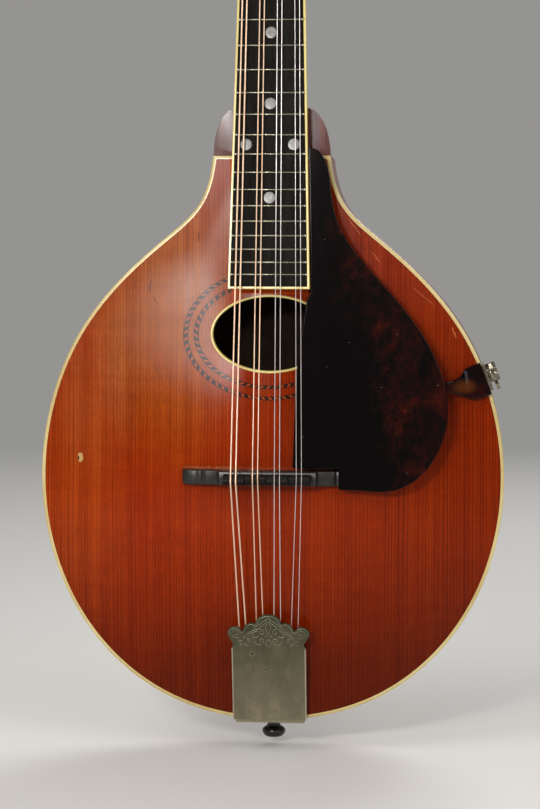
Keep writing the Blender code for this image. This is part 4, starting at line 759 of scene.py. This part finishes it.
UPPER = ((0.0, 1.0), (0.023, 0.926), (0.083, 0.848), (0.262, 0.750),
         (0.517, 0.626), (0.786, 0.438), (0.954, 0.203), (1.0, 0.0))
LOWER = ((0.952, 0.329), (0.776, 0.656), (0.465, 0.9005), (0.0, 1.0))
RIGHT = [(SHOULDER_HALF_WIDTH + (BOUT_HALF_WIDTH - SHOULDER_HALF_WIDTH) * u, BODY_TOP * v)
         for u, v in UPPER]
RIGHT += [(BOUT_HALF_WIDTH * u, -TAIL_LENGTH * v) for u, v in LOWER]
CONTROLS = RIGHT + [(-x, z) for x, z in reversed(RIGHT[:-1])]
EDGE_POINTS, HALF_EDGE = 301, 151
CLOSING_STEPS = 12


def side_path(inset):
    """The body's edge, moved in, from the treble shoulder round the tail to the bass one."""
    moved = shifted(smooth_path(CONTROLS, EDGE_POINTS), inset)
    moved[:, 1] = np.minimum(moved[:, 1], BODY_TOP - inset)
    return moved


def closed_outline(inset):
    """The same edge, closed by a straight line between the shoulders."""
    path = side_path(inset)
    shares = np.linspace(0.0, 1.0, CLOSING_STEPS + 1)[1:-1, None]
    return np.vstack((path, path[-1] + (path[0] - path[-1]) * shares))


EDGE = side_path(0.0)[:HALF_EDGE]
EDGE_ANGLES = np.arctan2(EDGE[:, 0], EDGE[:, 1])
TURNS = np.linspace(0.0, math.pi, 361)
REACH = np.where(TURNS < EDGE_ANGLES[0], BODY_TOP / np.cos(np.minimum(TURNS, EDGE_ANGLES[0])),
                 np.interp(TURNS, EDGE_ANGLES, np.linalg.norm(EDGE, axis=1)))


def softened(half_width):
    """Distance from the middle to the edge in each direction, with its corners smoothed."""
    weights = np.exp(-np.linspace(-2.0, 2.0, 2 * half_width + 1) ** 2)
    padded = np.concatenate((REACH[half_width:0:-1], REACH, REACH[-2:-half_width - 2:-1]))
    return np.convolve(padded, weights / weights.sum(), "valid")


TOP_REACH, BACK_REACH = softened(24), softened(32)


def arch(x, z, reaches):
    """Share of the full rise of a carved plate: 1 in the middle and 0 at the edge."""
    reach = float(np.interp(math.atan2(abs(x), z), TURNS, reaches))
    share = math.hypot(x, z) / (reach * 0.985)
    return (1.0 - share ** 2) ** 2 if share < 1.0 else 0.0


def top_out(x, z):
    return -TOP_RISE * arch(x, z, TOP_REACH)


def back_out(x, z):
    return BODY_DEPTH + BACK_RISE * arch(x, z, BACK_REACH)


def lifted(points, height, shift=0.0):
    return [(x, height(x, z) + shift, z) for x, z in points]


def hole_loop(outline, clearance):
    """Point on the soundhole's edge for each point of an outline round it."""
    half = np.array((HOLE_HALF_WIDTH, HOLE_HALF_HEIGHT)) + clearance
    away = (outline - (0.0, HOLE_Z)) / half
    return (0.0, HOLE_Z) + half * away / np.linalg.norm(away, axis=1)[:, None]


def make_body():
    outer = closed_outline(BINDING_WIDTH + HAIR)
    inner = hole_loop(outer, HAIR)
    rings = [outer + (inner - outer) * share for share in np.linspace(0.0, 1.0, 34)]
    loops = [lifted(points, top_out) for points in rings]
    loops += [lifted(points, top_out, PLATE) for points in reversed(rings)]
    top = carved("carved_top", loops, "spruce", "top_plate", 60.0, True)
    lined(top, lambda normal, _: normal.y > 0.5)

    outline = closed_outline(0.0)
    rings = [outline * share for share in
             (0.04, 0.10, 0.18, 0.27, 0.36, 0.45, 0.54, 0.62, 0.70, 0.77, 0.83, 0.88, 0.92,
              0.95, 0.975, 0.99, 1.0)]
    loops = [lifted(points, back_out, -PLATE) for points in rings]
    loops += [lifted(points, back_out) for points in reversed(rings)]
    back = carved("carved_back", loops, "birch", "back_plate", 60.0)
    lined(back, lambda normal, _: normal.y < -0.5)
    rounded(back, 0.0006, 3)

    outer, inner = closed_outline(-0.00002), closed_outline(BINDING_WIDTH)
    soft = closed_outline(0.0003)
    loops = [[(x, depth, z) for x, z in line] for line, depth in
             ((outer, 0.00035), (soft, 0.00002), (inner, 0.00002), (inner, BINDING_DEPTH),
              (outer, BINDING_DEPTH))]
    carved("edge_binding", loops, "cream", "body_binding", 50.0, True)

    front, rear = BINDING_DEPTH, BODY_DEPTH - PLATE
    outer, inner = side_path(0.0001)[:HALF_EDGE], side_path(RIB_THICKNESS)[:HALF_EDGE]
    for side, label in ((-1, "bass"), (1, "treble")):
        loops = []
        for (xa, za), (xb, zb) in zip(outer, inner):
            xa, xb = side * max(xa, 0.0), side * max(xb, 0.0)
            loops.append([(xa, front, za), (xb, front, zb), (xb, rear, zb), (xa, rear, za)])
        rib = carved(label + "_side", loops, "birch", label + "_rib", 50.0)
        lined(rib, lambda normal, spot: normal.x * spot.x + normal.z * (spot.z - OFFSET.z) < 0
              and abs(normal.y) < 0.5)

    loops = []
    for inset, lift in ((0.0, 0.0), (0.0001, -0.00035), (0.00055, -0.00048), (0.0012, -0.0003),
                        (HOLE_RIM, 0.0), (HOLE_RIM, PLATE), (0.0, PLATE)):
        points = [((HOLE_HALF_WIDTH - inset) * u, HOLE_Z + (HOLE_HALF_HEIGHT - inset) * v)
                  for u, v in ring(1.0, 160)]
        loops.append(lifted(points, top_out, lift))
    carved("hole_binding", loops, "board_cream", "soundhole_binding", 60.0, True)

    # Blocks, bar and linings take the inside wood, painted dark as shade
    for node in ("head_block", "tail_block", "tone_bar", "bass_top_lining", "treble_top_lining",
                 "bass_back_lining", "treble_back_lining"):
        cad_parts[node].data.materials.clear()
        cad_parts[node].data.materials.append(LOOKS["inside"])


# Fingerboard, frets, dots and nut

# Places along the axis and radii of turned parts
FRET_END = ((-0.00095, 0.00022), (-0.0008, 0.00042), (-0.0003, 0.00050), (0.0001, 0.00050))
DOT = ((-0.00006, 0.00312), (-0.00008, 0.0030), (-0.00008, 0.0012), (-0.00008, 0.0002))


def board_half(run):
    share = (run + BOARD_OVERHANG) / (NUT_RUN + BOARD_OVERHANG)
    return BOARD_END_HALF_WIDTH + (NUT_HALF_WIDTH - BOARD_END_HALF_WIDTH) * share


def fret_run(number):
    return SCALE_LENGTH * 2 ** (-number / 12) - SADDLE_RUN


def make_board():
    foot = BOARD_EDGE - BOARD_OVERHANG
    wide, narrow = board_half(foot) - BOARD_EDGE, board_half(NUT_RUN) - BOARD_EDGE
    loops = [[(-narrow, depth, NUT_RUN), (-wide, depth, foot), (wide, depth, foot),
              (narrow, depth, NUT_RUN)] for depth in (0.0, BOARD_THICKNESS)]
    show("ebony_board", loft(loops), "board", matrix=NECK, replaces=("fingerboard",))

    wires, nibs = [], []
    for number in range(1, FRET_COUNT + 1):
        run = fret_run(number)
        half = board_half(run) - BOARD_EDGE - 0.00025
        loops = []
        for x, share in ((-half, 0.45), (-half + 0.0006, 1.0), (half - 0.0006, 1.0), (half, 0.45)):
            loops.append([(x, 0.0001 - FRET_HEIGHT * share * math.sin(a),
                           run + FRET_HALF_WIDTH * math.cos(a))
                          for a in np.linspace(0.0, math.pi, 11)])
        wires.append(loft(loops))
        for side in (-1, 1):
            nibs.append(turned(FRET_END, 12, (side * (half - 0.0003), 0.0, run)))
    show("fret_wires", joined(wires), "fret", matrix=NECK, sharp=70.0)
    show("fret_ends", joined(nibs), "fret_end", matrix=NECK, sharp=70.0)

    discs = []
    for x, number in ((0.0, 5), (0.0, 7), (0.0, 10), (-0.0130, 12), (0.0130, 12), (0.0, 15)):
        middle = (fret_run(number - 1) + fret_run(number)) / 2
        discs.append(turned(DOT, 48, (x, 0.0, middle)))
    show("pearl_dots", joined(discs), "pearl", matrix=NECK)

    from_node("fingerboard_binding", "board_cream", 0.0003).name = "board_binding"
    from_node("nut", "bone", 0.00025)
    from_node("fingerboard_riser", "mahogany", 0.0004)
    from_node("neck", "mahogany", 0.0007, segments=3)
    from_node("headstock_veneer", "veneer", 0.0003)


# Tuning machines

def machine_place(number):
    """Side and place in X and Z of the post that a string goes to. Strings count from 1."""
    side, order = (-1, number - 1) if number < 5 else (1, 8 - number)
    return side, side * POST_X, FIRST_POST + order * TUNER_PITCH


def make_machines():
    profile = [(PLATE_BACK + out, radius) for out, radius in
               ((-0.0004, 0.0012), (0.0003, 0.0013), (0.0007, 0.0009), (0.0008, 0.0004))]
    for side, label in ((-1, "bass"), (1, "treble")):
        from_node(label + "_tuner_plate", "machine", 0.00018)
        heads = [turned(profile, 20, (side * PLATE_X, 0.0, z))
                 for z in (0.0125, 0.0400, 0.0630, 0.0860, 0.1010)]
        show(label + "_plate_screws", joined(heads), "machine", matrix=HEAD)
    for number in range(1, 9):
        from_node("string_post_" + str(number), "machine", 0.00015, "post_" + str(number))
        make_button(number)


def make_button(number):
    """Shaft with its worm thread, collar and rounded button, on the same axis as the node."""
    side, post_x, post_z = machine_place(number)
    gear_radius = GEAR_TEETH * WORM_LEAD / FULL_TURN
    offset = gear_radius + TOOTH_HEIGHT + WORM_RADIUS - WORM_THROW + GEAR_TIP_CLEARANCE
    depth = PLATE_BACK + WORM_RADIUS + WORM_THROW + 2 * GAP
    move = HEAD @ Matrix.Translation((post_x, depth, post_z + offset))
    body = "button_" + str(number)
    edge = HEAD_HALF_WIDTH - POST_X + BUTTON_STANDOFF
    tip = -WORM_HALF_LENGTH - WORM_TO_LUG
    rows = [(tip - 0.0018, 0.0009, 0.0, 0.0), (tip - 0.0016, JOURNAL_RADIUS, 0.0, 0.0),
            (-WORM_HALF_LENGTH - 0.0002, JOURNAL_RADIUS, 0.0, 0.0)]
    for along in np.linspace(-WORM_HALF_LENGTH, WORM_HALF_LENGTH, 31):
        turn = math.pi / 2 + side * FULL_TURN * along / WORM_LEAD
        rows.append((along, WORM_RADIUS, WORM_THROW * math.cos(turn), WORM_THROW * math.sin(turn)))
    rows += [(WORM_HALF_LENGTH + 0.0002, JOURNAL_RADIUS, 0.0, 0.0),
             (edge, JOURNAL_RADIUS, 0.0, 0.0)]
    shaft = loft([[(side * along, dy + radius * u, dz + radius * v) for u, v in ring(1.0, 20)]
                  for along, radius, dy, dz in rows])
    collar = loft([[(side * (edge + out), u, v) for u, v in ring(radius, 24)] for out, radius in
                   ((-0.0002, 0.0016), (0.0, 0.0022), (0.0012, 0.0021), (0.0017, 0.0016))])
    show("tuner_spindle_" + str(number), joined([shaft, collar]), "machine", body, move)
    loops = []
    for share in np.linspace(0.0, 1.0, 22):
        swell = math.sqrt(max(0.0, 1.0 - (1.9 * (share - 0.52)) ** 2))
        end = min(1.0, 0.30 + (share / 0.06) ** 0.5 * 0.7) if share < 0.06 else 1.0
        end *= math.sqrt(max(0.02, 1.0 - ((share - 0.90) / 0.105) ** 2)) if share > 0.90 else 1.0
        deep = 0.0034 * (0.45 + 0.55 * swell) * end
        tall = 0.0070 * (0.25 + 0.75 * swell) * end
        loops.append([(side * (edge + 0.0015 + share * BUTTON_LENGTH), deep * u, tall * v)
                      for u, v in ring(1.0, 32)])
    show("tuner_knob_" + str(number), loft(loops), "button", body, move,
         replaces=("tuner_button_" + str(number),), sharp=70.0)


# Strings

WINDING_STEPS = 24


def string_x(number, pitch, pair):
    """Place in X of a string, counted from 0, in its course."""
    course, member = divmod(number, 2)
    return (course - 1.5) * pitch + (member - 0.5) * pair


def make_strings():
    for number, radius in enumerate(STRING_RADII):
        side, post_x, post_z = machine_place(number + 1)
        name, post = "string_" + str(number + 1), "post_" + str(number + 1)
        look, first, turns = ("copper", 0, 3.4) if side < 0 else ("silver", 1, 4.2)
        hook = Vector((string_x(number, COURSE_PITCH_HOOK, PAIR_HOOK), -HOOK_RISE, HOOK_Z))
        start = BODY @ (hook + Vector((0.0, 0.0, HOOK_HALF_LENGTH + GAP)))
        saddle = NECK @ Vector((string_x(number, COURSE_PITCH_SADDLE, PAIR_SADDLE),
                                -STRING_LEVEL_SADDLE - radius - HAIR,
                                -SADDLE_RUN + SADDLE_OFFSETS[number // 2]))
        nut = NECK @ Vector((string_x(number, COURSE_PITCH_NUT, PAIR_NUT),
                             -STRING_LEVEL_NUT - radius, NUT_RUN + NUT_LENGTH + 2 * GAP))
        end = HEAD @ Vector((post_x - side * (POST_RADIUS + radius + 0.0001), -WIND_LEVEL, post_z))
        points = [start, start.lerp(saddle, 0.985), saddle, saddle.lerp(nut, 0.985),
                  nut, nut + (end - nut).normalized() * 0.004, end]
        tube(name + "_fine", [points], radius, look, sides=4, replaces=(name,))

        reach = POST_RADIUS + radius + HAIR
        winding = []
        for k in range(first, int(turns * WINDING_STEPS) + 1):
            share = k / WINDING_STEPS
            angle = -side * FULL_TURN * share + (math.pi if side > 0 else 0.0)
            winding.append((post_x + reach * math.cos(angle), -WIND_LEVEL + 2.1 * radius * share,
                            post_z + reach * math.sin(angle)))
        tube(name + "_winding", [winding], radius, look, post, HEAD)
        eye = [(hook.x - 0.00115 * math.sin(2 * turn), hook.y + 0.0006,
                hook.z + 0.0011 - 0.0022 * math.sin(turn))
               for turn in np.linspace(0.0, math.pi, 21)]
        tube(name + "_loop", [eye], min(radius, 0.00028), look, matrix=BODY, sides=2)


# Bridge

WINGS = ((1.0, 0.30), (0.985, 0.40), (0.93, 0.46), (0.925, 0.66), (0.88, 0.70), (0.82, 0.69),
         (0.79, 0.60), (0.775, 0.61), (0.76, 0.68), (0.70, 0.72), (0.60, 0.72), (0.575, 0.78),
         (0.558, 0.93))


def make_bridge():
    flat = -TOP_RISE - BRIDGE_HEIGHT
    stations = [(-BRIDGE_HALF_LENGTH * s, h) for s, h in WINGS]
    stations += [(SADDLE_HALF_SPAN * s, None) for s in np.linspace(-1.0, 1.0, 15)]
    stations += [(BRIDGE_HALF_LENGTH * s, h) for s, h in reversed(WINGS)]
    edge = ((0.0008, 0.0003), (0.0002, 0.0001), (0.0, -0.0004))
    loops = []
    for x, height in stations:
        crest = flat if height is None else top_out(x, 0.0) - height * BRIDGE_HEIGHT
        crown = 0.0035 if height is None else 0.0037
        loop = [(x, top_out(x, z) - 0.0001, z)
                for z in np.linspace(-BRIDGE_HALF_FOOT, BRIDGE_HALF_FOOT, 7)]
        loop += [(x, crest + drop, crown + out) for drop, out in edge]
        loop += [(x, crest + drop, -crown - out) for drop, out in reversed(edge)]
        loops.append(loop)
    carved("bridge_foot", loops, "bridge", "bridge_base", 38.0)

    seat, wide = flat - HAIR, SADDLE_HALF_DEPTH
    half = (COURSE_PITCH_SADDLE - GAP) / 2
    for course, label in enumerate(("g", "d", "a", "e")):
        middle = (course - 1.5) * COURSE_PITCH_SADDLE
        run = -SADDLE_RUN + SADDLE_OFFSETS[course]
        _, y, z = NECK @ Vector((0.0, -STRING_LEVEL_SADDLE, run)) - OFFSET
        section = [(seat, -wide), (seat, wide), (y + 0.0022, wide), (y + 0.0012, wide - 0.0006),
                   (y + 0.0002, z + 0.0009), (y, z + 0.0005), (y, z - 0.0004),
                   (y + 0.0002, z - 0.0008), (y + 0.0012, -wide + 0.0006), (y + 0.0022, -wide)]
        loops = [[(middle + s * half, min(depth + drop, seat), height) for depth, height in section]
                 for s, drop in ((-1, 0.00025), (-0.94, 0.0), (0.94, 0.0), (1, 0.00025))]
        carved("saddle_" + label, loops, "saddle", "bridge_saddle_" + label, 30.0)


# Pickguard, arm and clamp

# Middle, height, front, depth and half height in millimetres, and lean in degrees, along the arm
ARM_ROWS = ((88.75, 49.81, -14.76, 3.0, 3.0, 0.0), (97.75, 49.81, -14.36, 3.4, 3.0, 0.0),
            (103.65, 50.40, -9.15, 3.4, 4.8, 0.0), (108.47, 50.88, -5.46, 3.4, 9.2, 21.2),
            (117.51, 54.39, -4.26, 2.5, 9.2, 21.2))


def squared(value):
    """Sine or cosine pushed outwards, so that an oval comes near to a rounded bar."""
    return math.copysign(abs(value) ** 0.30, value)


def make_guard():
    from_node("pickguard", "tortoise", 0.0005, segments=4).name = "tortoise_guard"
    from_node("pickguard_pin", "tortoise", 0.0003)

    soft = np.convolve(np.ones(7) / 7, np.ones(7) / 7)
    steps = np.linspace(0.0, 4.0, 41)
    smoothed = []
    for column in zip(*ARM_ROWS):
        line = np.interp(steps, range(5), column)
        line = np.concatenate((2 * line[0] - line[6:0:-1], line, 2 * line[-1] - line[-2:-8:-1]))
        smoothed.append(np.convolve(line, soft, "valid"))
    loops = []
    for middle, height, front, deep, half, lean in zip(*smoothed):
        lean = math.radians(lean)
        loop = []
        for angle in np.linspace(0.0, FULL_TURN, 28, endpoint=False):
            u = squared(math.cos(angle)) * half
            v = squared(math.sin(angle)) * deep / 2
            loop.append(((middle - u * math.sin(lean)) / 1000, (front + deep / 2 + v) / 1000,
                         (height + u * math.cos(lean)) / 1000))
        loops.append(loop)
    carved("guard_arm", loops, "tortoise", "pickguard_arm", 60.0)


def make_clamp():
    from_node("clamp_upper_jaw", "nickel", 0.0003)
    from_node("clamp_lower_jaw", "nickel", 0.0003, "clamp_jaw")
    from_node("clamp_screw", "nickel", 0.00035, "clamp_screw", 3)


# Tailpiece

# Points and course of each stroke of half a traditional scroll pattern, in millimetres
STROKES = (
    (60, ((13.9, -13.9), (12.2, -11.9), (10.2, -10.3), (8.0, -9.2), (5.8, -8.6), (3.9, -8.6),
          (2.6, -9.4), (2.3, -10.6), (3.1, -11.5), (4.3, -11.3), (4.6, -10.4), (3.9, -10.0))),
    (24, ((13.5, -14.8), (11.7, -12.8), (9.8, -11.3), (7.9, -10.3), (6.0, -9.7))),
    (20, ((1.2, -3.2), (2.9, -4.2), (4.5, -5.4), (6.3, -6.9), (8.1, -8.0))),
    (16, ((1.0, -4.9), (2.3, -5.7), (3.6, -6.7), (4.9, -7.7))),
    (44, ((8.0, -15.2), (6.8, -16.9), (5.2, -17.8), (3.5, -17.3), (2.5, -15.9), (2.9, -14.6),
          (4.2, -14.3), (4.8, -15.2), (4.2, -15.9))),
    (24, ((0.4, -5.4), (1.6, -7.2), (1.2, -9.0), (0.5, -10.8), (1.3, -12.6), (2.2, -13.2))),
    (18, ((0.0, -14.6), (1.3, -16.2), (1.4, -17.6), (0.0, -18.9))),
    (22, ((5.4, -12.6), (6.4, -13.4), (7.8, -13.4), (8.9, -12.5), (8.7, -11.6), (7.7, -11.8))),
    (20, ((16.6, -16.0), (15.2, -15.4), (14.3, -16.3), (14.9, -17.6), (16.1, -17.5))),
)
# Middle, start in degrees, turns, outer and inner radius and points of each curl, in millimetres
CURLS = ((17.9, -11.2, -120, 1.35, 2.7, 0.6, 36), (10.9, -15.2, 30, 1.1, 1.2, 0.4, 24),
         (12.6, -17.4, 200, 0.9, 0.9, 0.3, 18))
# Middle, half sizes and turns in degrees of the arcs of half the cover's edge
COVER_ARCS = (
    ((0.0, -0.0056), (0.0071, 0.0056), range(90, -1, -9)),
    ((0.0083, -0.0105), (0.0059, 0.0059), (80, 67, 54, 41, 28, 15, 5)),
    ((0.0184, -0.0112), (0.0042, 0.0042), range(165, -46, -15)),
)


def curl(x, run, start, turns, big, small, count):
    """Spiral from its open end to its eye."""
    points = []
    for share in np.linspace(0.0, 1.0, count + 1):
        angle = math.radians(start) + turns * FULL_TURN * share
        radius = big + (small - big) * share
        points.append((x + radius * math.cos(angle), run + radius * math.sin(angle)))
    return points


def cover_edge(inset):
    """The cover's outline, drawn in by an inset."""
    right = [(x + wide * math.cos(math.radians(turn)), z + tall * math.sin(math.radians(turn)))
             for (x, z), (wide, tall), turns in COVER_ARCS for turn in turns]
    right += [(0.0194, -0.0174), (0.0204, -0.0200)]
    return shifted(np.array([(-x, z) for x, z in reversed(right)] + right[1:]), inset)


def make_tailpiece():
    from_node("tailpiece_cover", "cover", 0.00022, "cover", 3).name = "cover_plate"
    strokes = [smooth_path(course, count) for count, course in STROKES]
    strokes += [curl(*row) for row in CURLS]
    paths = []
    for stroke in strokes:
        for side in (-1, 1):
            paths.append([(side * u / 1000, ENGRAVING_LEVEL, v / 1000) for u, v in stroke])
    paths.append([(u, ENGRAVING_LEVEL, v) for u, v in cover_edge(0.0011)[3:-3]])
    paths.append([(u / 1000, ENGRAVING_LEVEL, v / 1000)
                  for u, v in curl(0.0, -3.4, 0.0, 1.0, 1.15, 1.15, 24)])
    tube("cover_engraving", paths, 0.00013, "engraving", "cover", COVER, 2)
    shade = [[(x + 0.00016, y + 0.00004, z - 0.00017) for x, y, z in path] for path in paths]
    tube("cover_engraving_shade", shade, 0.00012, "dark", "cover", COVER, 1)
    dots = []
    random.seed(7)
    for _ in range(70):
        x, run = random.uniform(-11.5, 11.5), random.uniform(-14.0, -6.0)
        if abs(x) * 0.62 - run <= 14.5:
            dots.append(turned(((-0.00008, 0.00012), (0.0001, 0.0002)), 8,
                               (x / 1000, 0.0, run / 1000)))
    show("cover_stipple", joined(dots), "dark", "cover", COVER)
    from_node("tailpiece_base", "cover_base", 0.0002)


def make_end_pin():
    start = -TAIL_LENGTH - BASE_SEAT - BASE_THICKNESS - GAP
    rows = ((0.0, 0.0046), (0.0003, 0.0052), (0.0015, 0.0053), (0.0020, 0.0048), (0.0030, 0.0038),
            (0.0045, 0.0036), (0.0060, 0.0040), (0.0071, 0.0056), (0.0078, 0.0064),
            (0.0086, 0.0066), (0.0096, 0.0066), (0.0104, 0.0062), (0.0109, 0.0058),
            (0.0112, 0.0056), (0.0118, 0.0050), (0.0122, 0.0038), (0.0122, 0.0012))
    pin = turned([(-out, radius) for out, radius in rows], 64, upright=True)
    shank = turned(((PIN_SHANK, 0.0032), (-0.0005, 0.0038)), 32, upright=True)
    show("end_pin_fine", joined([pin, shank]), "pin",
         matrix=BODY @ Matrix.Translation((0.0, PIN_Y, start)), replaces=("end_pin",))


# Camera, light and floor

# Place from the middle of the body, size, power and colour of each lamp
LAMPS = (
    ("sheen", (-0.31, -1.00, 0.262), (0.38, 0.09), 2.8, WARM_LIGHT),
    ("bright_sheen", (-0.195, -1.00, 0.285), (0.15, 0.09), 3.9, WARM_LIGHT),
    ("key", (-1.15, -1.30, 1.50), (1.4, 1.2), 16.0, WARM_LIGHT),
    ("fill", (1.55, -1.30, 0.95), (1.2, 1.2), 15.0, WHITE_LIGHT),
    ("rim", (0.6, 1.7, 1.3), (1.3, 1.0), 26.0, WHITE_LIGHT),
)
FLOOR_REACH = 9.0


def make_camera():
    turn = (Matrix.Rotation(math.radians(0.12), 3, "Y") @ Matrix.Rotation(math.radians(4.0), 3, "X")
            @ Matrix.Rotation(math.radians(-5.13), 3, "Z"))
    right, ahead, up = (turn.transposed() @ Vector(axis)
                        for axis in ((1, 0, 0), (0, 1, 0), (0, 0, 1)))
    data = bpy.data.cameras.new("camera")
    data.lens = 96.81
    data.sensor_width = 36.0
    data.clip_start, data.clip_end = 0.05, 30.0
    camera = bpy.data.objects.new("camera", data)
    bpy.context.scene.collection.objects.link(camera)
    place = OFFSET + Vector((0.1062, -1.1897, 0.1225))
    matrix = Matrix((right, up, -ahead)).transposed().to_4x4()
    camera.matrix_world = Matrix.Translation(place) @ matrix
    bpy.context.scene.camera = camera


def make_lamps():
    middle = OFFSET + Vector((0.0, 0.0, 0.03))
    for name, away, size, power, colour in LAMPS:
        data = bpy.data.lights.new(name, "AREA")
        data.shape = "RECTANGLE"
        data.size, data.size_y = size
        data.energy = power
        data.color = colour
        lamp = bpy.data.objects.new(name, data)
        bpy.context.scene.collection.objects.link(lamp)
        lamp.location = middle + Vector(away)
        lamp.visible_camera = False
        lamp.rotation_euler = (middle - lamp.location).to_track_quat("-Z", "Y").to_euler()


def make_floor():
    """Pale floor that fades into the background with distance."""
    low, reach = cad_low.z - 0.004, FLOOR_REACH
    floor = bpy.data.meshes.new("floor")
    floor.from_pydata([(-reach, -reach, low), (reach, -reach, low), (reach, reach, low),
                       (-reach, reach, low)], [], [(0, 1, 2, 3)])
    ground = bpy.data.objects.new("floor", floor)
    bpy.context.scene.collection.objects.link(ground)
    f = Finish("floor_pale")
    tint = f.mix(f.noise(3.0), (0.66, 0.65, 0.63), (0.69, 0.68, 0.66))
    floor.materials.append(f.set(colour=tint, rough=0.8, specular=0.2))
    far = f.node("ShaderNodeEmission", {"Color": BACKGROUND})
    x, y, _ = f.split()
    share = f.ramp(f.times(f.reach(x, y), 0.5), ((0.15, 0.0), (0.95, 1.0)))
    fade = f.node("ShaderNodeMixShader", {"Fac": share, 1: f.shader.outputs["BSDF"],
                                          2: far.outputs["Emission"]})
    f.put(f.tree.nodes["Material Output"].inputs["Surface"], fade.outputs["Shader"])


def make_world():
    world = bpy.data.worlds.new("studio")
    bpy.context.scene.world = world
    world.use_nodes = True
    world.node_tree.nodes["Background"].inputs["Color"].default_value = BACKGROUND
    bpy.context.scene.view_settings.view_transform = "Standard"


make_camera()
make_body()
make_board()
make_machines()
make_strings()
make_bridge()
make_guard()
make_clamp()
make_tailpiece()
make_end_pin()
make_lamps()
make_floor()
make_world()
